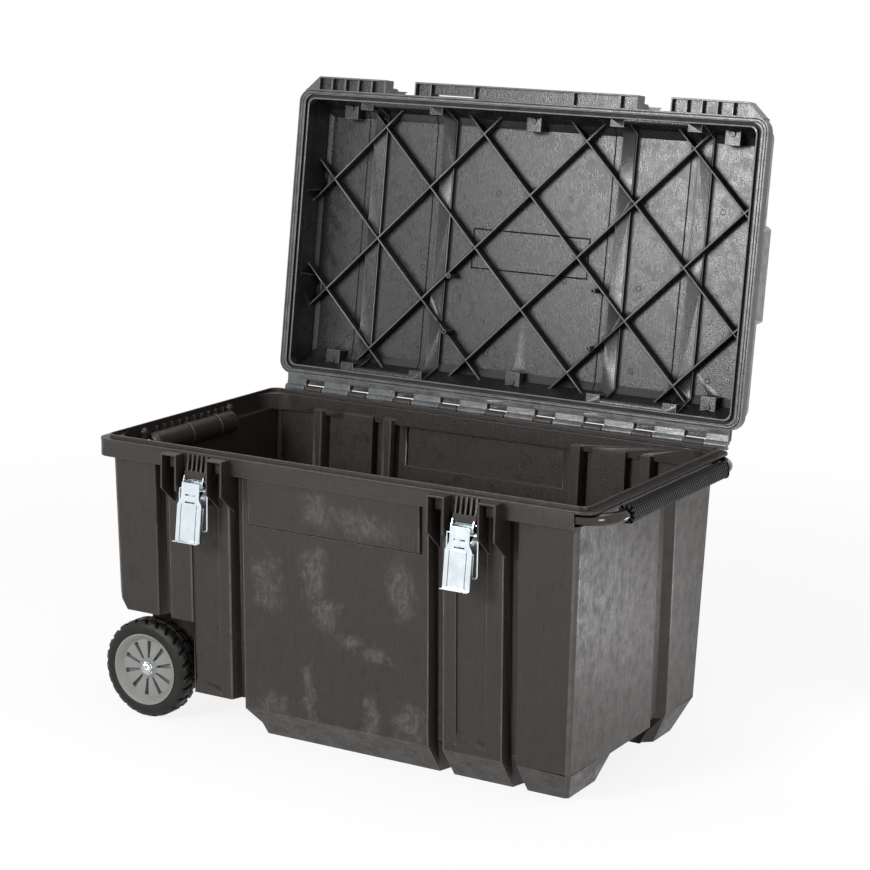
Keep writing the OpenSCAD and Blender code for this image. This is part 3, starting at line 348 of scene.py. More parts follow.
def bumped(tree, height, strength, depth):
    """A normal from a height."""
    node = tree.nodes.new("ShaderNodeBump")
    node.inputs["Strength"].default_value = strength
    node.inputs["Distance"].default_value = depth
    put(tree, height, node.inputs["Height"])
    return node.outputs[0]


def surface(material, tree, **inputs):
    """The shader itself: each named socket gets a plain value or a link."""
    shader = tree.nodes.new("ShaderNodeBsdfPrincipled")
    for name, value in inputs.items():
        put(tree, value, shader.inputs[name.replace("_", " ")])
    out = tree.nodes.new("ShaderNodeOutputMaterial")
    tree.links.new(shader.outputs[0], out.inputs["Surface"])
    return material


# Drag grain of a moulding: how each pattern is stretched or scaled, and its share in sheen and height
STREAK_STRETCH = (300, 300, 13)
FLECK_STRETCH = (380, 380, 95)
SKIN_STRETCH = (1, 1, 1.5)
MOTTLE_SCALE = 42.0
SKIN_SCALE = 330.0
MIDDLE_GREY = 0.5
GRAIN_SHEEN = 0.6
GRAIN_HEIGHT = 0.7


def drag_grain_group():
    """Upright streaks and short flecks, cloudy mottling and a leathery skin."""
    group, given, result = new_group(
        "drag_grain", {"Streaks": 1.0, "Flecks": 1.0, "Mottling": 1.0}, ("Shade", "Sheen", "Height"))
    patterns = {
        "Streaks": clouds(group, place_on(group, STREAK_STRETCH), scale=1.0, detail=3.0, roughness=0.6),
        "Flecks": clouds(group, place_on(group, FLECK_STRETCH), scale=1.0, detail=2.0, roughness=0.6),
        "Mottling": clouds(group, place_on(group), MOTTLE_SCALE, detail=5.0, roughness=0.65),
    }
    skin = clouds(group, place_on(group, SKIN_STRETCH), SKIN_SCALE, detail=3.0, roughness=0.7)
    spread = {}
    for name, pattern in patterns.items():
        spread[name] = calc(group, "MULTIPLY", calc(group, "SUBTRACT", pattern, MIDDLE_GREY), given[name])
    lengthwise = calc(group, "ADD", spread["Streaks"], spread["Flecks"])
    shade = calc(group, "ADD", calc(group, "ADD", lengthwise, spread["Mottling"]), MIDDLE_GREY)
    put(group, shade, result["Shade"])
    put(group, calc(group, "MULTIPLY_ADD", lengthwise, GRAIN_SHEEN, spread["Mottling"]), result["Sheen"])
    put(group, calc(group, "MULTIPLY_ADD", lengthwise, GRAIN_HEIGHT, skin), result["Height"])
    return group


# Dust smears: the cloud level above which dust lies at no cover, how far full cover lowers it,
# and the grit in the dust
SMEAR_SCALE = 9.0
SMEAR_STRETCH = (1, 1, 0.7)
BARE_LEVEL = 0.72
COVER_DROP = 0.3
SMEAR_SOFT = 0.22
SPECKLE_SCALE = 240.0
SPECKLE_RANGE = (0.3, 0.75)
SPECKLE_LEAST = 0.4


def dust_smears_group():
    """Pale cloudy wipes with speckles through them."""
    group, given, result = new_group("dust_smears", {"Cover": 0.5}, ("Mask",))
    wipe = clouds(group, place_on(group, SMEAR_STRETCH), SMEAR_SCALE, detail=5.0, roughness=0.62,
                  distortion=1.2)
    level = calc(group, "SUBTRACT", BARE_LEVEL, calc(group, "MULTIPLY", given["Cover"], COVER_DROP))
    wiped = fade(group, wipe, level, calc(group, "ADD", level, SMEAR_SOFT))
    grit = clouds(group, place_on(group), SPECKLE_SCALE, detail=3.0, roughness=0.7)
    speckle = fade(group, grit, *SPECKLE_RANGE, to_low=SPECKLE_LEAST)
    put(group, calc(group, "MULTIPLY", wiped, speckle), result["Mask"])
    return group


# Wiped patch: the raggedness of its outline, and the reach at which it ends and is full
RAGGED_SCALE = 30.0
RAGGED_SHARE = 1.6
PATCH_ENDS = 1.9
PATCH_FULL = 1.0


def wiped_patch_group():
    """A soft round patch of dust, set by its middle and its half width and height."""
    group, given, result = new_group(
        "wiped_patch", {"Across": 0.0, "Up": 0.0, "Middle": 0.0, "Height": 0.0, "Half Width": 1.0,
                        "Half Height": 1.0}, ("Mask",))
    aside = calc(group, "SUBTRACT", given["Across"], given["Middle"])
    above = calc(group, "SUBTRACT", given["Up"], given["Height"])
    aside = calc(group, "DIVIDE", aside, given["Half Width"])
    above = calc(group, "DIVIDE", above, given["Half Height"])
    squares = calc(group, "MULTIPLY_ADD", aside, aside, calc(group, "MULTIPLY", above, above))
    reach = calc(group, "SQRT", squares)
    rags = clouds(group, place_on(group), RAGGED_SCALE, detail=4.0, roughness=0.65)
    ragged = calc(group, "MULTIPLY_ADD", rags, RAGGED_SHARE, reach)
    put(group, fade(group, ragged, PATCH_ENDS, PATCH_FULL), result["Mask"])
    return group


drag_grain = drag_grain_group()
dust_smears = dust_smears_group()
wiped_patch = wiped_patch_group()

# Black moulded plastic: the colours laid over its own, and how each effect changes its gloss
DUST_COLOUR = (0.128, 0.118, 0.109)
DUST_SHARE = 0.5
DUST_ROUGHNESS = 0.2
# painted sheen laid on the lid's land
LAND_SHEEN_COLOUR = (0.13, 0.135, 0.14)
MARK_AND_SHADOW_COLOUR = (0.004, 0.004, 0.004)
MARK_SINK = 2.0
PLAIN_GLOSS = 0.45
SHEEN_SHARE = -0.55
SKIN_STRENGTH = 0.5


def black_moulding(name, dark, pale, grain, skin_depth, dust, roughness, marks=None, wiped=None,
                   land_sheen=None, gloss=None):
    """Grained plastic with a share of dust, and with sunk marks, painted shadow lines, wiped patches and a
    land painted paler as a sheen.
    """
    material, tree = new_material(name)
    grain = grouped(tree, drag_grain, **grain)
    smear = grouped(tree, dust_smears, Cover=dust)["Mask"]
    if wiped:
        smear = calc(tree, "MAXIMUM", smear, wiped(tree))
    colour = blended(tree, grain["Shade"], dark, pale)
    # the land is painted paler here as a sheen
    if land_sheen:
        colour = blended(tree, land_sheen(tree), colour, LAND_SHEEN_COLOUR)
    colour = blended(tree, calc(tree, "MULTIPLY", smear, DUST_SHARE), colour, DUST_COLOUR)
    height = grain["Height"]
    level = gloss(tree) if gloss else PLAIN_GLOSS
    if marks:
        # marks are drawn dark and sunk; on the tub this is a painted shadow line under the front plate
        sunk_or_shadowed = marks(tree)
        colour = blended(tree, sunk_or_shadowed, colour, MARK_AND_SHADOW_COLOUR)
        height = calc(tree, "SUBTRACT", height, calc(tree, "MULTIPLY", sunk_or_shadowed, MARK_SINK))
        level = calc(tree, "MULTIPLY", level, calc(tree, "SUBTRACT", 1.0, sunk_or_shadowed))
    dusty = calc(tree, "MULTIPLY_ADD", smear, DUST_ROUGHNESS, roughness)
    rough = calc(tree, "MULTIPLY_ADD", grain["Sheen"], SHEEN_SHARE, dusty)
    return surface(material, tree, Base_Color=colour, Roughness=rough, Specular_IOR_Level=level,
                   Normal=bumped(tree, height, SKIN_STRENGTH, skin_depth))


# Front panel: how far a surface has to face and lie forward to belong to it, the patches of dust
# left on it (middle, height, half width and half height of each), their wisps and grit, and the
# painted shadow line round its raised plate
FRONT_FACING = (-0.5, -0.9)
FRONT_WALL = (-0.200, -0.215)
WIPE_DRIFT = 0.07
WISP_STRETCH = (1, 1, 0.6)
WISP_RANGE = (0.36, 0.66)
WISP_LEAST = 0.15
GRIT_STRETCH = (0.8, 1, 1.6)
GRIT_RANGE = (0.3, 0.7)
GRIT_LEAST = 0.65
FRONT_PATCHES = (
    (-0.037, 0.313, 0.034, 0.062),
    (-0.010, 0.241, 0.026, 0.036),
    (0.030, 0.207, 0.034, 0.018),
    (0.083, 0.189, 0.030, 0.014),
    (0.130, 0.300, 0.036, 0.055),
    (0.140, 0.080, 0.044, 0.040),
    (0.071, 0.078, 0.018, 0.050),
    (0.021, 0.034, 0.034, 0.016),
    (-0.046, 0.100, 0.014, 0.066),
    (-0.120, 0.066, 0.056, 0.026),
    (-0.130, 0.280, 0.032, 0.070),
    (-0.030, 0.412, 0.036, 0.030),
    (0.060, 0.400, 0.080, 0.030),
)
PLATE_SHADOW_HALF_L = 0.1632
PLATE_SHADOW_Z = 0.3722
PLATE_SHADOW_TOP = 0.452
PLATE_SHADOW_TOP_SOFT = 0.002
PLATE_SHADOW_HALF_WIDTH = 0.0013
PLATE_SHADOW_STRENGTH = 0.9
LINE_SOFT = 0.5


def facing_front(tree):
    """1 on surfaces that face the latches' side, else 0."""
    normal = tree.nodes.new("ShaderNodeTexCoord").outputs["Normal"]
    return fade(tree, axes(tree, normal)[1], *FRONT_FACING)


def line_near(tree, distance, half_width):
    """1 where a distance is under a half width, fading to 0 just outside it."""
    foot, top = half_width * (1 + LINE_SOFT), half_width * (1 - LINE_SOFT)
    return fade(tree, calc(tree, "ABSOLUTE", distance), foot, top)


def front_wipes(tree):
    """The patches of dust on the front panel, speckled and brushed."""
    swirl = noise(tree, place_on(tree), scale=26.0, detail=5.0, roughness=0.6, distortion=0.8)["Color"]
    drift = tree.nodes.new("ShaderNodeVectorMath")
    drift.operation = "MULTIPLY_ADD"
    put(tree, swirl, drift.inputs[0])
    drift.inputs[1].default_value = (WIPE_DRIFT, 0, WIPE_DRIFT)
    put(tree, place_on(tree, shift=(-WIPE_DRIFT / 2, 0, -WIPE_DRIFT / 2)), drift.inputs[2])
    across, inward, up = axes(tree, drift.outputs[0])
    cover = 0.0
    for middle, height, half_width, half_height in FRONT_PATCHES:
        patch = grouped(tree, wiped_patch, Across=across, Up=up, Middle=middle, Height=height,
                        Half_Width=half_width, Half_Height=half_height)
        cover = calc(tree, "MAXIMUM", patch["Mask"], cover)
    mist = clouds(tree, place_on(tree, WISP_STRETCH), scale=55.0, detail=6.0, roughness=0.72, distortion=1.8)
    wisps = fade(tree, mist, *WISP_RANGE, to_low=WISP_LEAST)
    grit = clouds(tree, place_on(tree, GRIT_STRETCH), scale=300.0, detail=2.0, roughness=0.7)
    speckle = fade(tree, grit, *GRIT_RANGE, to_low=GRIT_LEAST)
    brushed = calc(tree, "MULTIPLY", calc(tree, "MULTIPLY", cover, wisps), speckle)
    on_wall = calc(tree, "MULTIPLY", facing_front(tree), fade(tree, inward, *FRONT_WALL))
    return calc(tree, "MULTIPLY", brushed, on_wall)


def plate_shadow_line(tree):
    """Painted shadow line round the raised plate under the front rim, drawn dark and sunk."""
    across, inward, up = axes(tree, place_on(tree))
    past_end = calc(tree, "SUBTRACT", calc(tree, "ABSOLUTE", across), PLATE_SHADOW_HALF_L)
    past_foot = calc(tree, "SUBTRACT", PLATE_SHADOW_Z, up)
    shadow_line = line_near(tree, calc(tree, "MAXIMUM", past_end, past_foot), PLATE_SHADOW_HALF_WIDTH)
    below_rim = fade(tree, up, PLATE_SHADOW_TOP, PLATE_SHADOW_TOP - PLATE_SHADOW_TOP_SOFT)
    outside = fade(tree, inward, *FRONT_WALL, to_high=PLATE_SHADOW_STRENGTH)
    return calc(tree, "MULTIPLY", calc(tree, "MULTIPLY", shadow_line, below_rim),
                calc(tree, "MULTIPLY", facing_front(tree), outside))


# the tub's marks are the painted shadow line round its front plate
tub_plastic = black_moulding(
    "tub_plastic", dark=(0.005, 0.0037, 0.0031), pale=(0.026, 0.0190, 0.0155),
    grain={"Streaks": 1.0, "Flecks": 0.9, "Mottling": 1.2}, skin_depth=0.0009, dust=0.30, roughness=0.42,
    marks=plate_shadow_line, wiped=front_wipes)
# rounded edges painted paler: partly rubbed wear, partly a painted highlight along them
rubbed_and_highlit_tub = black_moulding(
    "rubbed_and_highlit_tub", dark=(0.022, 0.021, 0.020), pale=(0.090, 0.086, 0.083),
    grain={"Streaks": 0.6, "Flecks": 0.6, "Mottling": 1.6}, skin_depth=0.0004, dust=0.2, roughness=0.34)
painted(rounded_copy("tub_moulding", "tub_shell", tub_edge_size), tub_plastic, rubbed_and_highlit_tub)

# Wheel rims: each is moulded in grey plastic, with ten spokes between sunk wedges, a bowl that
# carries the tyre and a bored hub that turns on the axle.
rim_low, rim_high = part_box("wheel_rim_front")
axle_low, axle_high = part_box("axle")
RUNNING_GAP = 0.0001
SEAT_R = (rim_high[0] - rim_low[0]) / 2
DISC_R = SEAT_R - 0.012
HUB_R = 0.015
BORE_R = (axle_high[0] - axle_low[0]) / 2 + RUNNING_GAP
BORE_FACE = 0.009
FACE_DEPTH = 0.011
FACE_START_R = HUB_R + 0.002
SLOT_DEPTH = 0.019
WEB_BACK = 0.026
WEB_RISE = 0.030
BACK_DEPTH = 0.041
HUB_BACK = rim_high[1] - rim_low[1]
SPOKES = 10
SPOKE_TURN = 0.4
SLOT_INNER = (HUB_R + 0.003, 0.0018)
SLOT_OUTER = (SEAT_R - 0.0135, 0.0043)
SECTOR_STEPS = 6
JOIN = 1e-6
RIM_SHARP_FROM = math.radians(35)
RIM_ROUGHNESS = 0.42
rim_plastic, rim_tree = new_material("rim_plastic")
rim_grain = grouped(rim_tree, drag_grain, Streaks=0.1, Flecks=0.2, Mottling=0.6)
surface(rim_plastic, rim_tree,
        Base_Color=blended(rim_tree, rim_grain["Shade"], (0.135, 0.139, 0.132), (0.23, 0.236, 0.225)),
        Roughness=calc(rim_tree, "ADD", RIM_ROUGHNESS, rim_grain["Sheen"]),
        Normal=bumped(rim_tree, rim_grain["Height"], strength=0.2, depth=0.0003))


def rim_mesh(name, side):
    """One wheel's rim: a lathed lip, bowl, hub and back, and a disc with its sunk wedges."""
    low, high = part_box(f"wheel_rim_{side}")
    outer_y = low[1] if side == "front" else high[1]
    inward = 1 if side == "front" else -1
    axle_x, axle_z = (low[0] + high[0]) / 2, (low[2] + high[2]) / 2
    sector = 2 * math.pi / SPOKES
    shape = bmesh.new()

    def at(radius, angle, depth, aside=0.0):
        """A point of the rim from its radius, angle and depth, and a step square to the radius."""
        x = radius * math.cos(angle) - aside * math.sin(angle)
        z = radius * math.sin(angle) + aside * math.cos(angle)
        return shape.verts.new((axle_x + x, outer_y + inward * depth, axle_z + z))

    def skin(*corners):
        """A face, wound so that it looks outwards on either wheel."""
        shape.faces.new(corners if inward > 0 else corners[::-1])

    def sector_of_disc(turn):
        """The disc's share between the middles of two spokes, with a wedge sunk in it."""
        arc = [turn + sector * (step / SECTOR_STEPS - 0.5) for step in range(SECTOR_STEPS + 1)]
        half = SECTOR_STEPS // 2
        rim_line = [at(DISC_R, angle, FACE_DEPTH) for angle in arc]
        hub_line = [at(FACE_START_R, angle, FACE_DEPTH) for angle in arc]
        corners = {}
        for depth in (FACE_DEPTH, SLOT_DEPTH):
            for way in (-1, 1):
                corners[depth, "in", way] = at(SLOT_INNER[0], turn, depth, way * SLOT_INNER[1])
                corners[depth, "out", way] = at(SLOT_OUTER[0], turn, depth, way * SLOT_OUTER[1])
        top = FACE_DEPTH
        for way, side_steps in ((-1, range(half)), (1, range(half, SECTOR_STEPS))):
            inner_corner, outer_corner = corners[top, "in", way], corners[top, "out", way]
            for step in side_steps:
                skin(outer_corner, rim_line[step], rim_line[step + 1])
                skin(inner_corner, hub_line[step + 1], hub_line[step])
            edge_step = 0 if way < 0 else SECTOR_STEPS
            flank = (inner_corner, hub_line[edge_step], rim_line[edge_step], outer_corner)
            skin(*(flank if way < 0 else flank[::-1]))
        skin(corners[top, "out", -1], rim_line[half], corners[top, "out", 1])
        skin(corners[top, "in", 1], hub_line[half], corners[top, "in", -1])
        ring = [("in", -1), ("out", -1), ("out", 1), ("in", 1)]
        for (place, way), (next_place, next_way) in zip(ring, ring[1:] + ring[:1]):
            skin(corners[top, place, way], corners[top, next_place, next_way],
                 corners[SLOT_DEPTH, next_place, next_way], corners[SLOT_DEPTH, place, way])
        skin(*(corners[SLOT_DEPTH, place, way] for place, way in ring))

    def lathed(outline):
        """A skin turned round the axle from an outline of radii and depths."""
        steps = SPOKES * SECTOR_STEPS
        start = (SPOKE_TURN - 0.5) * sector
        angles = [start + step * 2 * math.pi / steps for step in range(steps)]
        rings = [[at(radius, angle, depth) for angle in angles] for radius, depth in outline]
        for inner, outer in zip(rings, rings[1:]):
            for step in range(steps):
                after = (step + 1) % steps
                skin(inner[step], inner[after], outer[after], outer[step])

    for spoke in range(SPOKES):
        sector_of_disc((spoke + SPOKE_TURN) * sector)
    lathed([(DISC_R, FACE_DEPTH), (SEAT_R - 0.009, 0.0075), (SEAT_R - 0.004, 0.0015), (SEAT_R - 0.002, 0.0),
            (SEAT_R, 0.0), (SEAT_R, BACK_DEPTH), (SEAT_R - 0.004, BACK_DEPTH), (SEAT_R - 0.006, WEB_RISE),
            (SEAT_R - 0.014, WEB_BACK), (HUB_R + 0.003, WEB_BACK), (HUB_R, WEB_RISE), (HUB_R, HUB_BACK),
            (BORE_R, HUB_BACK), (BORE_R, BORE_FACE)])
    lathed([(BORE_R, BORE_FACE), (HUB_R, BORE_FACE), (FACE_START_R, FACE_DEPTH)])
    bmesh.ops.remove_doubles(shape, verts=shape.verts, dist=JOIN)
    bmesh.ops.recalc_face_normals(shape, faces=shape.faces)
    mesh = bpy.data.meshes.new(name)
    shape.to_mesh(mesh)
    shape.free()
    return mesh


for side in ("front", "rear"):
    mesh = rim_mesh(f"wheel_{side}_rim", side)
    mesh.shade_smooth()
    mesh.set_sharp_from_angle(angle=RIM_SHARP_FROM)
    rim = bpy.data.objects.new(f"wheel_{side}_rim", mesh)
    bpy.context.scene.collection.objects.link(rim)
    painted(rim, rim_plastic)
    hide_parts(f"wheel_rim_{side}")
    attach(rim, f"wheel_{side}")

# Tyres: solid black rubber, moulded with slanted tread blocks and pressed onto the rims,
# with dust left between the blocks.
TYRE_EDGE = 0.0008
TYRE_DUST_SHARE = 0.3
TYRE_DUST_COLOUR = (0.06, 0.055, 0.05)
TYRE_ROUGHNESS = 0.5
tyre_rubber, tyre_tree = new_material("tyre_rubber")
tyre_grain = grouped(tyre_tree, drag_grain, Streaks=0.1, Flecks=0.3, Mottling=0.8)
tyre_dust = grouped(tyre_tree, dust_smears, Cover=0.4)["Mask"]
tyre_dust = calc(tyre_tree, "MULTIPLY", tyre_dust, TYRE_DUST_SHARE)
tyre_black = blended(tyre_tree, tyre_grain["Shade"], (0.004, 0.0035, 0.003), (0.016, 0.0145, 0.013))
surface(tyre_rubber, tyre_tree,
        Base_Color=blended(tyre_tree, tyre_dust, tyre_black, TYRE_DUST_COLOUR),
        Roughness=calc(tyre_tree, "ADD", TYRE_ROUGHNESS, tyre_grain["Sheen"]), Specular_IOR_Level=0.25,
        Normal=bumped(tyre_tree, tyre_grain["Height"], strength=0.4, depth=0.0006))
for side in ("front", "rear"):
    painted(rounded_copy(f"wheel_{side}_tyre", f"tyre_{side}", TYRE_EDGE, segments=1,
                         sharp_from=28), tyre_rubber)

# Axle and its fittings: a bright steel rod through both webs, flat washers, and crimped caps
# pushed onto its ends to keep the wheels on.
STEEL_EDGE = 0.0003
CRIMP_SCALE = 380.0


def plated_steel(name, dark, pale, grain, roughness, sheen, skin_strength=0.0, marks=None,
                 mark_colour=None):
    """Plated metal with a faint grain in its colour and gloss, and dark lines where marks are given."""
    material, tree = new_material(name)
    grain = grouped(tree, drag_grain, **grain)
    colour = blended(tree, grain["Shade"], dark, pale)
    if marks:
        colour = blended(tree, marks(tree), colour, mark_colour)
    sockets = {"Base_Color": colour, "Metallic": 1.0,
               "Roughness": calc(tree, "ADD", roughness, calc(tree, "MULTIPLY", grain["Sheen"], sheen))}
    if skin_strength:
        sockets["Normal"] = bumped(tree, grain["Height"], skin_strength, depth=0.0002)
    return surface(material, tree, **sockets)


bright_zinc = plated_steel(
    "bright_zinc", dark=(0.66, 0.73, 0.77), pale=(0.84, 0.90, 0.92),
    grain={"Streaks": 0.3, "Flecks": 0.2, "Mottling": 0.3}, roughness=0.22, sheen=0.5, skin_strength=0.08)
crimped_zinc, crimp_tree = new_material("crimped_zinc")
crimps = crimp_tree.nodes.new("ShaderNodeTexVoronoi")
put(crimp_tree, place_on(crimp_tree), crimps.inputs["Vector"])
crimps.inputs["Scale"].default_value = CRIMP_SCALE
surface(crimped_zinc, crimp_tree,
        Base_Color=blended(crimp_tree, crimps.outputs["Distance"], (0.72, 0.77, 0.79), (0.34, 0.37, 0.38)),
        Metallic=1.0, Roughness=0.2,
        Normal=bumped(crimp_tree, crimps.outputs["Distance"], strength=0.9, depth=0.0012))
for name, node, steel in (("axle_rod", "axle", bright_zinc), ("axle_end_caps", "axle_caps", crimped_zinc),
                          ("axle_flat_washers", "axle_washers", bright_zinc)):
    painted(rounded_copy(name, node, STEEL_EDGE), steel)

# Pull handle: a U of dark plated steel tube, bent and cut from one length, that slides in the
# channels under the rim.
dark_chrome = plated_steel(
    "dark_chrome", dark=(0.03, 0.029, 0.026), pale=(0.085, 0.081, 0.073),
    grain={"Streaks": 0.1, "Flecks": 0.1, "Mottling": 0.7}, roughness=0.13, sheen=0.4)
painted(rounded_copy("handle_tube_bend", "handle_tube", STEEL_EDGE), dark_chrome)

# Grip: a sleeve of black plastic on the tube's crossbar, with crossed grooves moulded round it
# that give a hand its hold.
HATCH_WAVES = 2 * math.pi / 0.007
HATCH_LEAN = 10.0
HATCH_CUT = (0.1, 0.7)


def grip_hatch(tree):
    """The crossed grooves, as two sets of waves that wind round the grip both ways."""
    across, along, up = axes(tree, place_on(tree))
    low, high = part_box("handle_grip")
    middle_x, middle_z = (low[0] + high[0]) / 2, (low[2] + high[2]) / 2
    outward = calc(tree, "SUBTRACT", across, middle_x)
    turn = calc(tree, "ARCTAN2", calc(tree, "SUBTRACT", up, middle_z), outward)
    hatch = 0.0
    for way in (-HATCH_LEAN, HATCH_LEAN):
        winding = calc(tree, "MULTIPLY_ADD", turn, way, calc(tree, "MULTIPLY", along, HATCH_WAVES))
        hatch = calc(tree, "MAXIMUM", fade(tree, calc(tree, "SINE", winding), *HATCH_CUT), hatch)
    return hatch


grip_plastic = black_moulding(
    "grip_plastic", dark=(0.003, 0.003, 0.003), pale=(0.014, 0.014, 0.014),
    grain={"Streaks": 0.2, "Flecks": 0.3, "Mottling": 0.8}, skin_depth=0.0005, dust=0.1, roughness=0.5,
    marks=grip_hatch)
painted(rounded_copy("handle_moulded_grip", "handle_grip", SMALL_EDGE), grip_plastic)

# Plugs and bushes: smooth black plastic; the plugs are pressed into the tube's inner ends and
# stop the pull-out, the bushes line the mouths of its channels.
plug_plastic = black_moulding(
    "plug_plastic", dark=(0.004, 0.004, 0.004), pale=(0.024, 0.024, 0.024),
    grain={"Streaks": 0.2, "Flecks": 0.3, "Mottling": 0.8}, skin_depth=0.0005, dust=0.2, roughness=0.42)
for name, node in (("handle_tube_plugs", "handle_end_plugs"), ("handle_guide_bushes", "handle_bushes")):
    painted(rounded_copy(name, node, SMALL_EDGE), plug_plastic)

# Lid: a second moulding of the same plastic, shown thrown open, stiffened inside by a lattice
# of crossing ribs, with a land painted paler as a sheen and a groove round its rim.
lid_low, lid_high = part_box("lid_shell")
LID_EDGE = 0.0012
LID_LONG_FROM = 0.12
LID_LEAN = math.radians(7)
RIM_FOOT = (0.292, 0.509)
ROOF_DEPTH = 0.072
RIM_HALF_L = (lid_high[0] - lid_low[0]) / 2
RIM_HALF_W = 0.264
RIM_CORNER = 0.025
RIM_LINES = (0.0035, 0.0085, 0.0135)
LINE_HALF = 0.0010
RIM_LINE_HALF = LINE_HALF * 0.8
RIM_LINE_DEPTHS = (0.003, 0.001)
RIM_LINE_STRENGTH = 0.8
LAND_DEPTHS = (0.004, 0.001)
SHEEN_PATCH_STRETCH = (40, 40, 40)
SHEEN_PATCH_RANGE = (0.3, 0.7)
SHEEN_PATCH_LEAST = 0.35
SHEEN_PATCH_MOST = 0.75
PLATE_HALF_L = 0.117
PLATE_HALF_H = 0.0355
PLATE_MIDDLE = 0.2625
BEAD_PLACES = (-0.326, -0.180, 0.180, 0.326)
BEAD_HALF = 0.012
FLANK_STARTS = (-0.002, 0.0)
FLANK_ENDS = (0.010, 0.004)
JOINT_ASIDE = 0.029
JOINT_STRENGTH = 0.9
RING_PITCH = 0.146
RING_R = 0.0045
RING_LINE_HALF = LINE_HALF * 0.7
RING_STRENGTH = 0.4
ROOF_SOFT = 0.003
ROOF_STARTS = (ROOF_DEPTH - 0.03, ROOF_DEPTH - 0.02)
RIB_SHADE = 0.016
SHUT_IN = (0.9, 0.5)
LID_GLOSS = 0.55
GLOSS_HELD_BACK = -0.5


def lid_edge_size(edge):
    """Only the long edges of walls and beads are well rounded."""
    return LID_EDGE if edge.calc_length() > LID_LONG_FROM else SMALL_EDGE


def lid_place(tree):
    """Place on the open lid: along it, down into it from the rim, and up from the hinge."""
    node = tree.nodes.new("ShaderNodeMapping")
    tree.links.new(tree.nodes.new("ShaderNodeTexCoord").outputs["Object"], node.inputs["Vector"])
    node.inputs["Rotation"].default_value = (LID_LEAN, 0, 0)
    foot_y, foot_z = RIM_FOOT
    into = foot_z * math.sin(LID_LEAN) - foot_y * math.cos(LID_LEAN)
    above = -foot_y * math.sin(LID_LEAN) - foot_z * math.cos(LID_LEAN)
    node.inputs["Location"].default_value = (0, into, above)
    return axes(tree, node.outputs[0])


def rim_distance(tree, across, up):
    """Distance past the lid's outer outline, seen square to its rim: below 0 inside."""
    side = calc(tree, "SUBTRACT", calc(tree, "ABSOLUTE", across), RIM_HALF_L - RIM_CORNER)
    from_middle = calc(tree, "ABSOLUTE", calc(tree, "SUBTRACT", up, RIM_HALF_W))
    end = calc(tree, "SUBTRACT", from_middle, RIM_HALF_W - RIM_CORNER)
    past_side = calc(tree, "MAXIMUM", side, 0.0)
    past_end = calc(tree, "MAXIMUM", end, 0.0)
    squares = calc(tree, "MULTIPLY_ADD", past_side, past_side, calc(tree, "MULTIPLY", past_end, past_end))
    inner = calc(tree, "MINIMUM", calc(tree, "MAXIMUM", side, end), 0.0)
    return calc(tree, "SUBTRACT", calc(tree, "ADD", calc(tree, "SQRT", squares), inner), RIM_CORNER)


def ejector_rings(tree, across, up):
    """Small rings at even steps, left by the pins that push the lid out of its mould."""
    ring_x = calc(tree, "SUBTRACT", calc(tree, "WRAP", across, RING_PITCH, 0.0), RING_PITCH / 2)
    ring_z = calc(tree, "SUBTRACT", calc(tree, "WRAP", up, RING_PITCH, 0.0), RING_PITCH / 2)
    squares = calc(tree, "MULTIPLY_ADD", ring_x, ring_x, calc(tree, "MULTIPLY", ring_z, ring_z))
    return line_near(tree, calc(tree, "SUBTRACT", calc(tree, "SQRT", squares), RING_R), RING_LINE_HALF)


def lid_marks(tree):
    """Sunk lines: a plate outline, a joint beside each bead and ejector rings on the roof, and rim lines."""
    across, depth, up = lid_place(tree)
    plate_x = calc(tree, "SUBTRACT", calc(tree, "ABSOLUTE", across), PLATE_HALF_L)
    from_middle = calc(tree, "ABSOLUTE", calc(tree, "SUBTRACT", up, PLATE_MIDDLE))
    plate_z = calc(tree, "SUBTRACT", from_middle, PLATE_HALF_H)
    marks = line_near(tree, calc(tree, "MAXIMUM", plate_x, plate_z), LINE_HALF)
    for bead in BEAD_PLACES:
        joint = line_near(tree, calc(tree, "SUBTRACT", across, bead - JOINT_ASIDE), LINE_HALF)
        marks = calc(tree, "MAXIMUM", marks, calc(tree, "MULTIPLY", joint, JOINT_STRENGTH))
    rings = calc(tree, "MULTIPLY", ejector_rings(tree, across, up), RING_STRENGTH)
    marks = calc(tree, "MAXIMUM", marks, rings)
    marks = calc(tree, "MULTIPLY", marks, fade(tree, depth, ROOF_DEPTH - ROOF_SOFT, ROOF_DEPTH))
    inset = calc(tree, "MULTIPLY", rim_distance(tree, across, up), -1.0)
    for line_inset in RIM_LINES:
        line = line_near(tree, calc(tree, "SUBTRACT", inset, line_inset), RIM_LINE_HALF)
        on_land = fade(tree, depth, *RIM_LINE_DEPTHS, to_high=RIM_LINE_STRENGTH)
        marks = calc(tree, "MAXIMUM", marks, calc(tree, "MULTIPLY", line, on_land))
    return marks


def lid_land_sheen(tree):
    """The flat land round the rim, painted paler in patches as a sheen."""
    patches = clouds(tree, place_on(tree, SHEEN_PATCH_STRETCH), scale=1.0, detail=3.0)
    patchy_sheen = fade(tree, patches, *SHEEN_PATCH_RANGE, to_low=SHEEN_PATCH_LEAST, to_high=SHEEN_PATCH_MOST)
    return calc(tree, "MULTIPLY", fade(tree, lid_place(tree)[1], *LAND_DEPTHS), patchy_sheen)


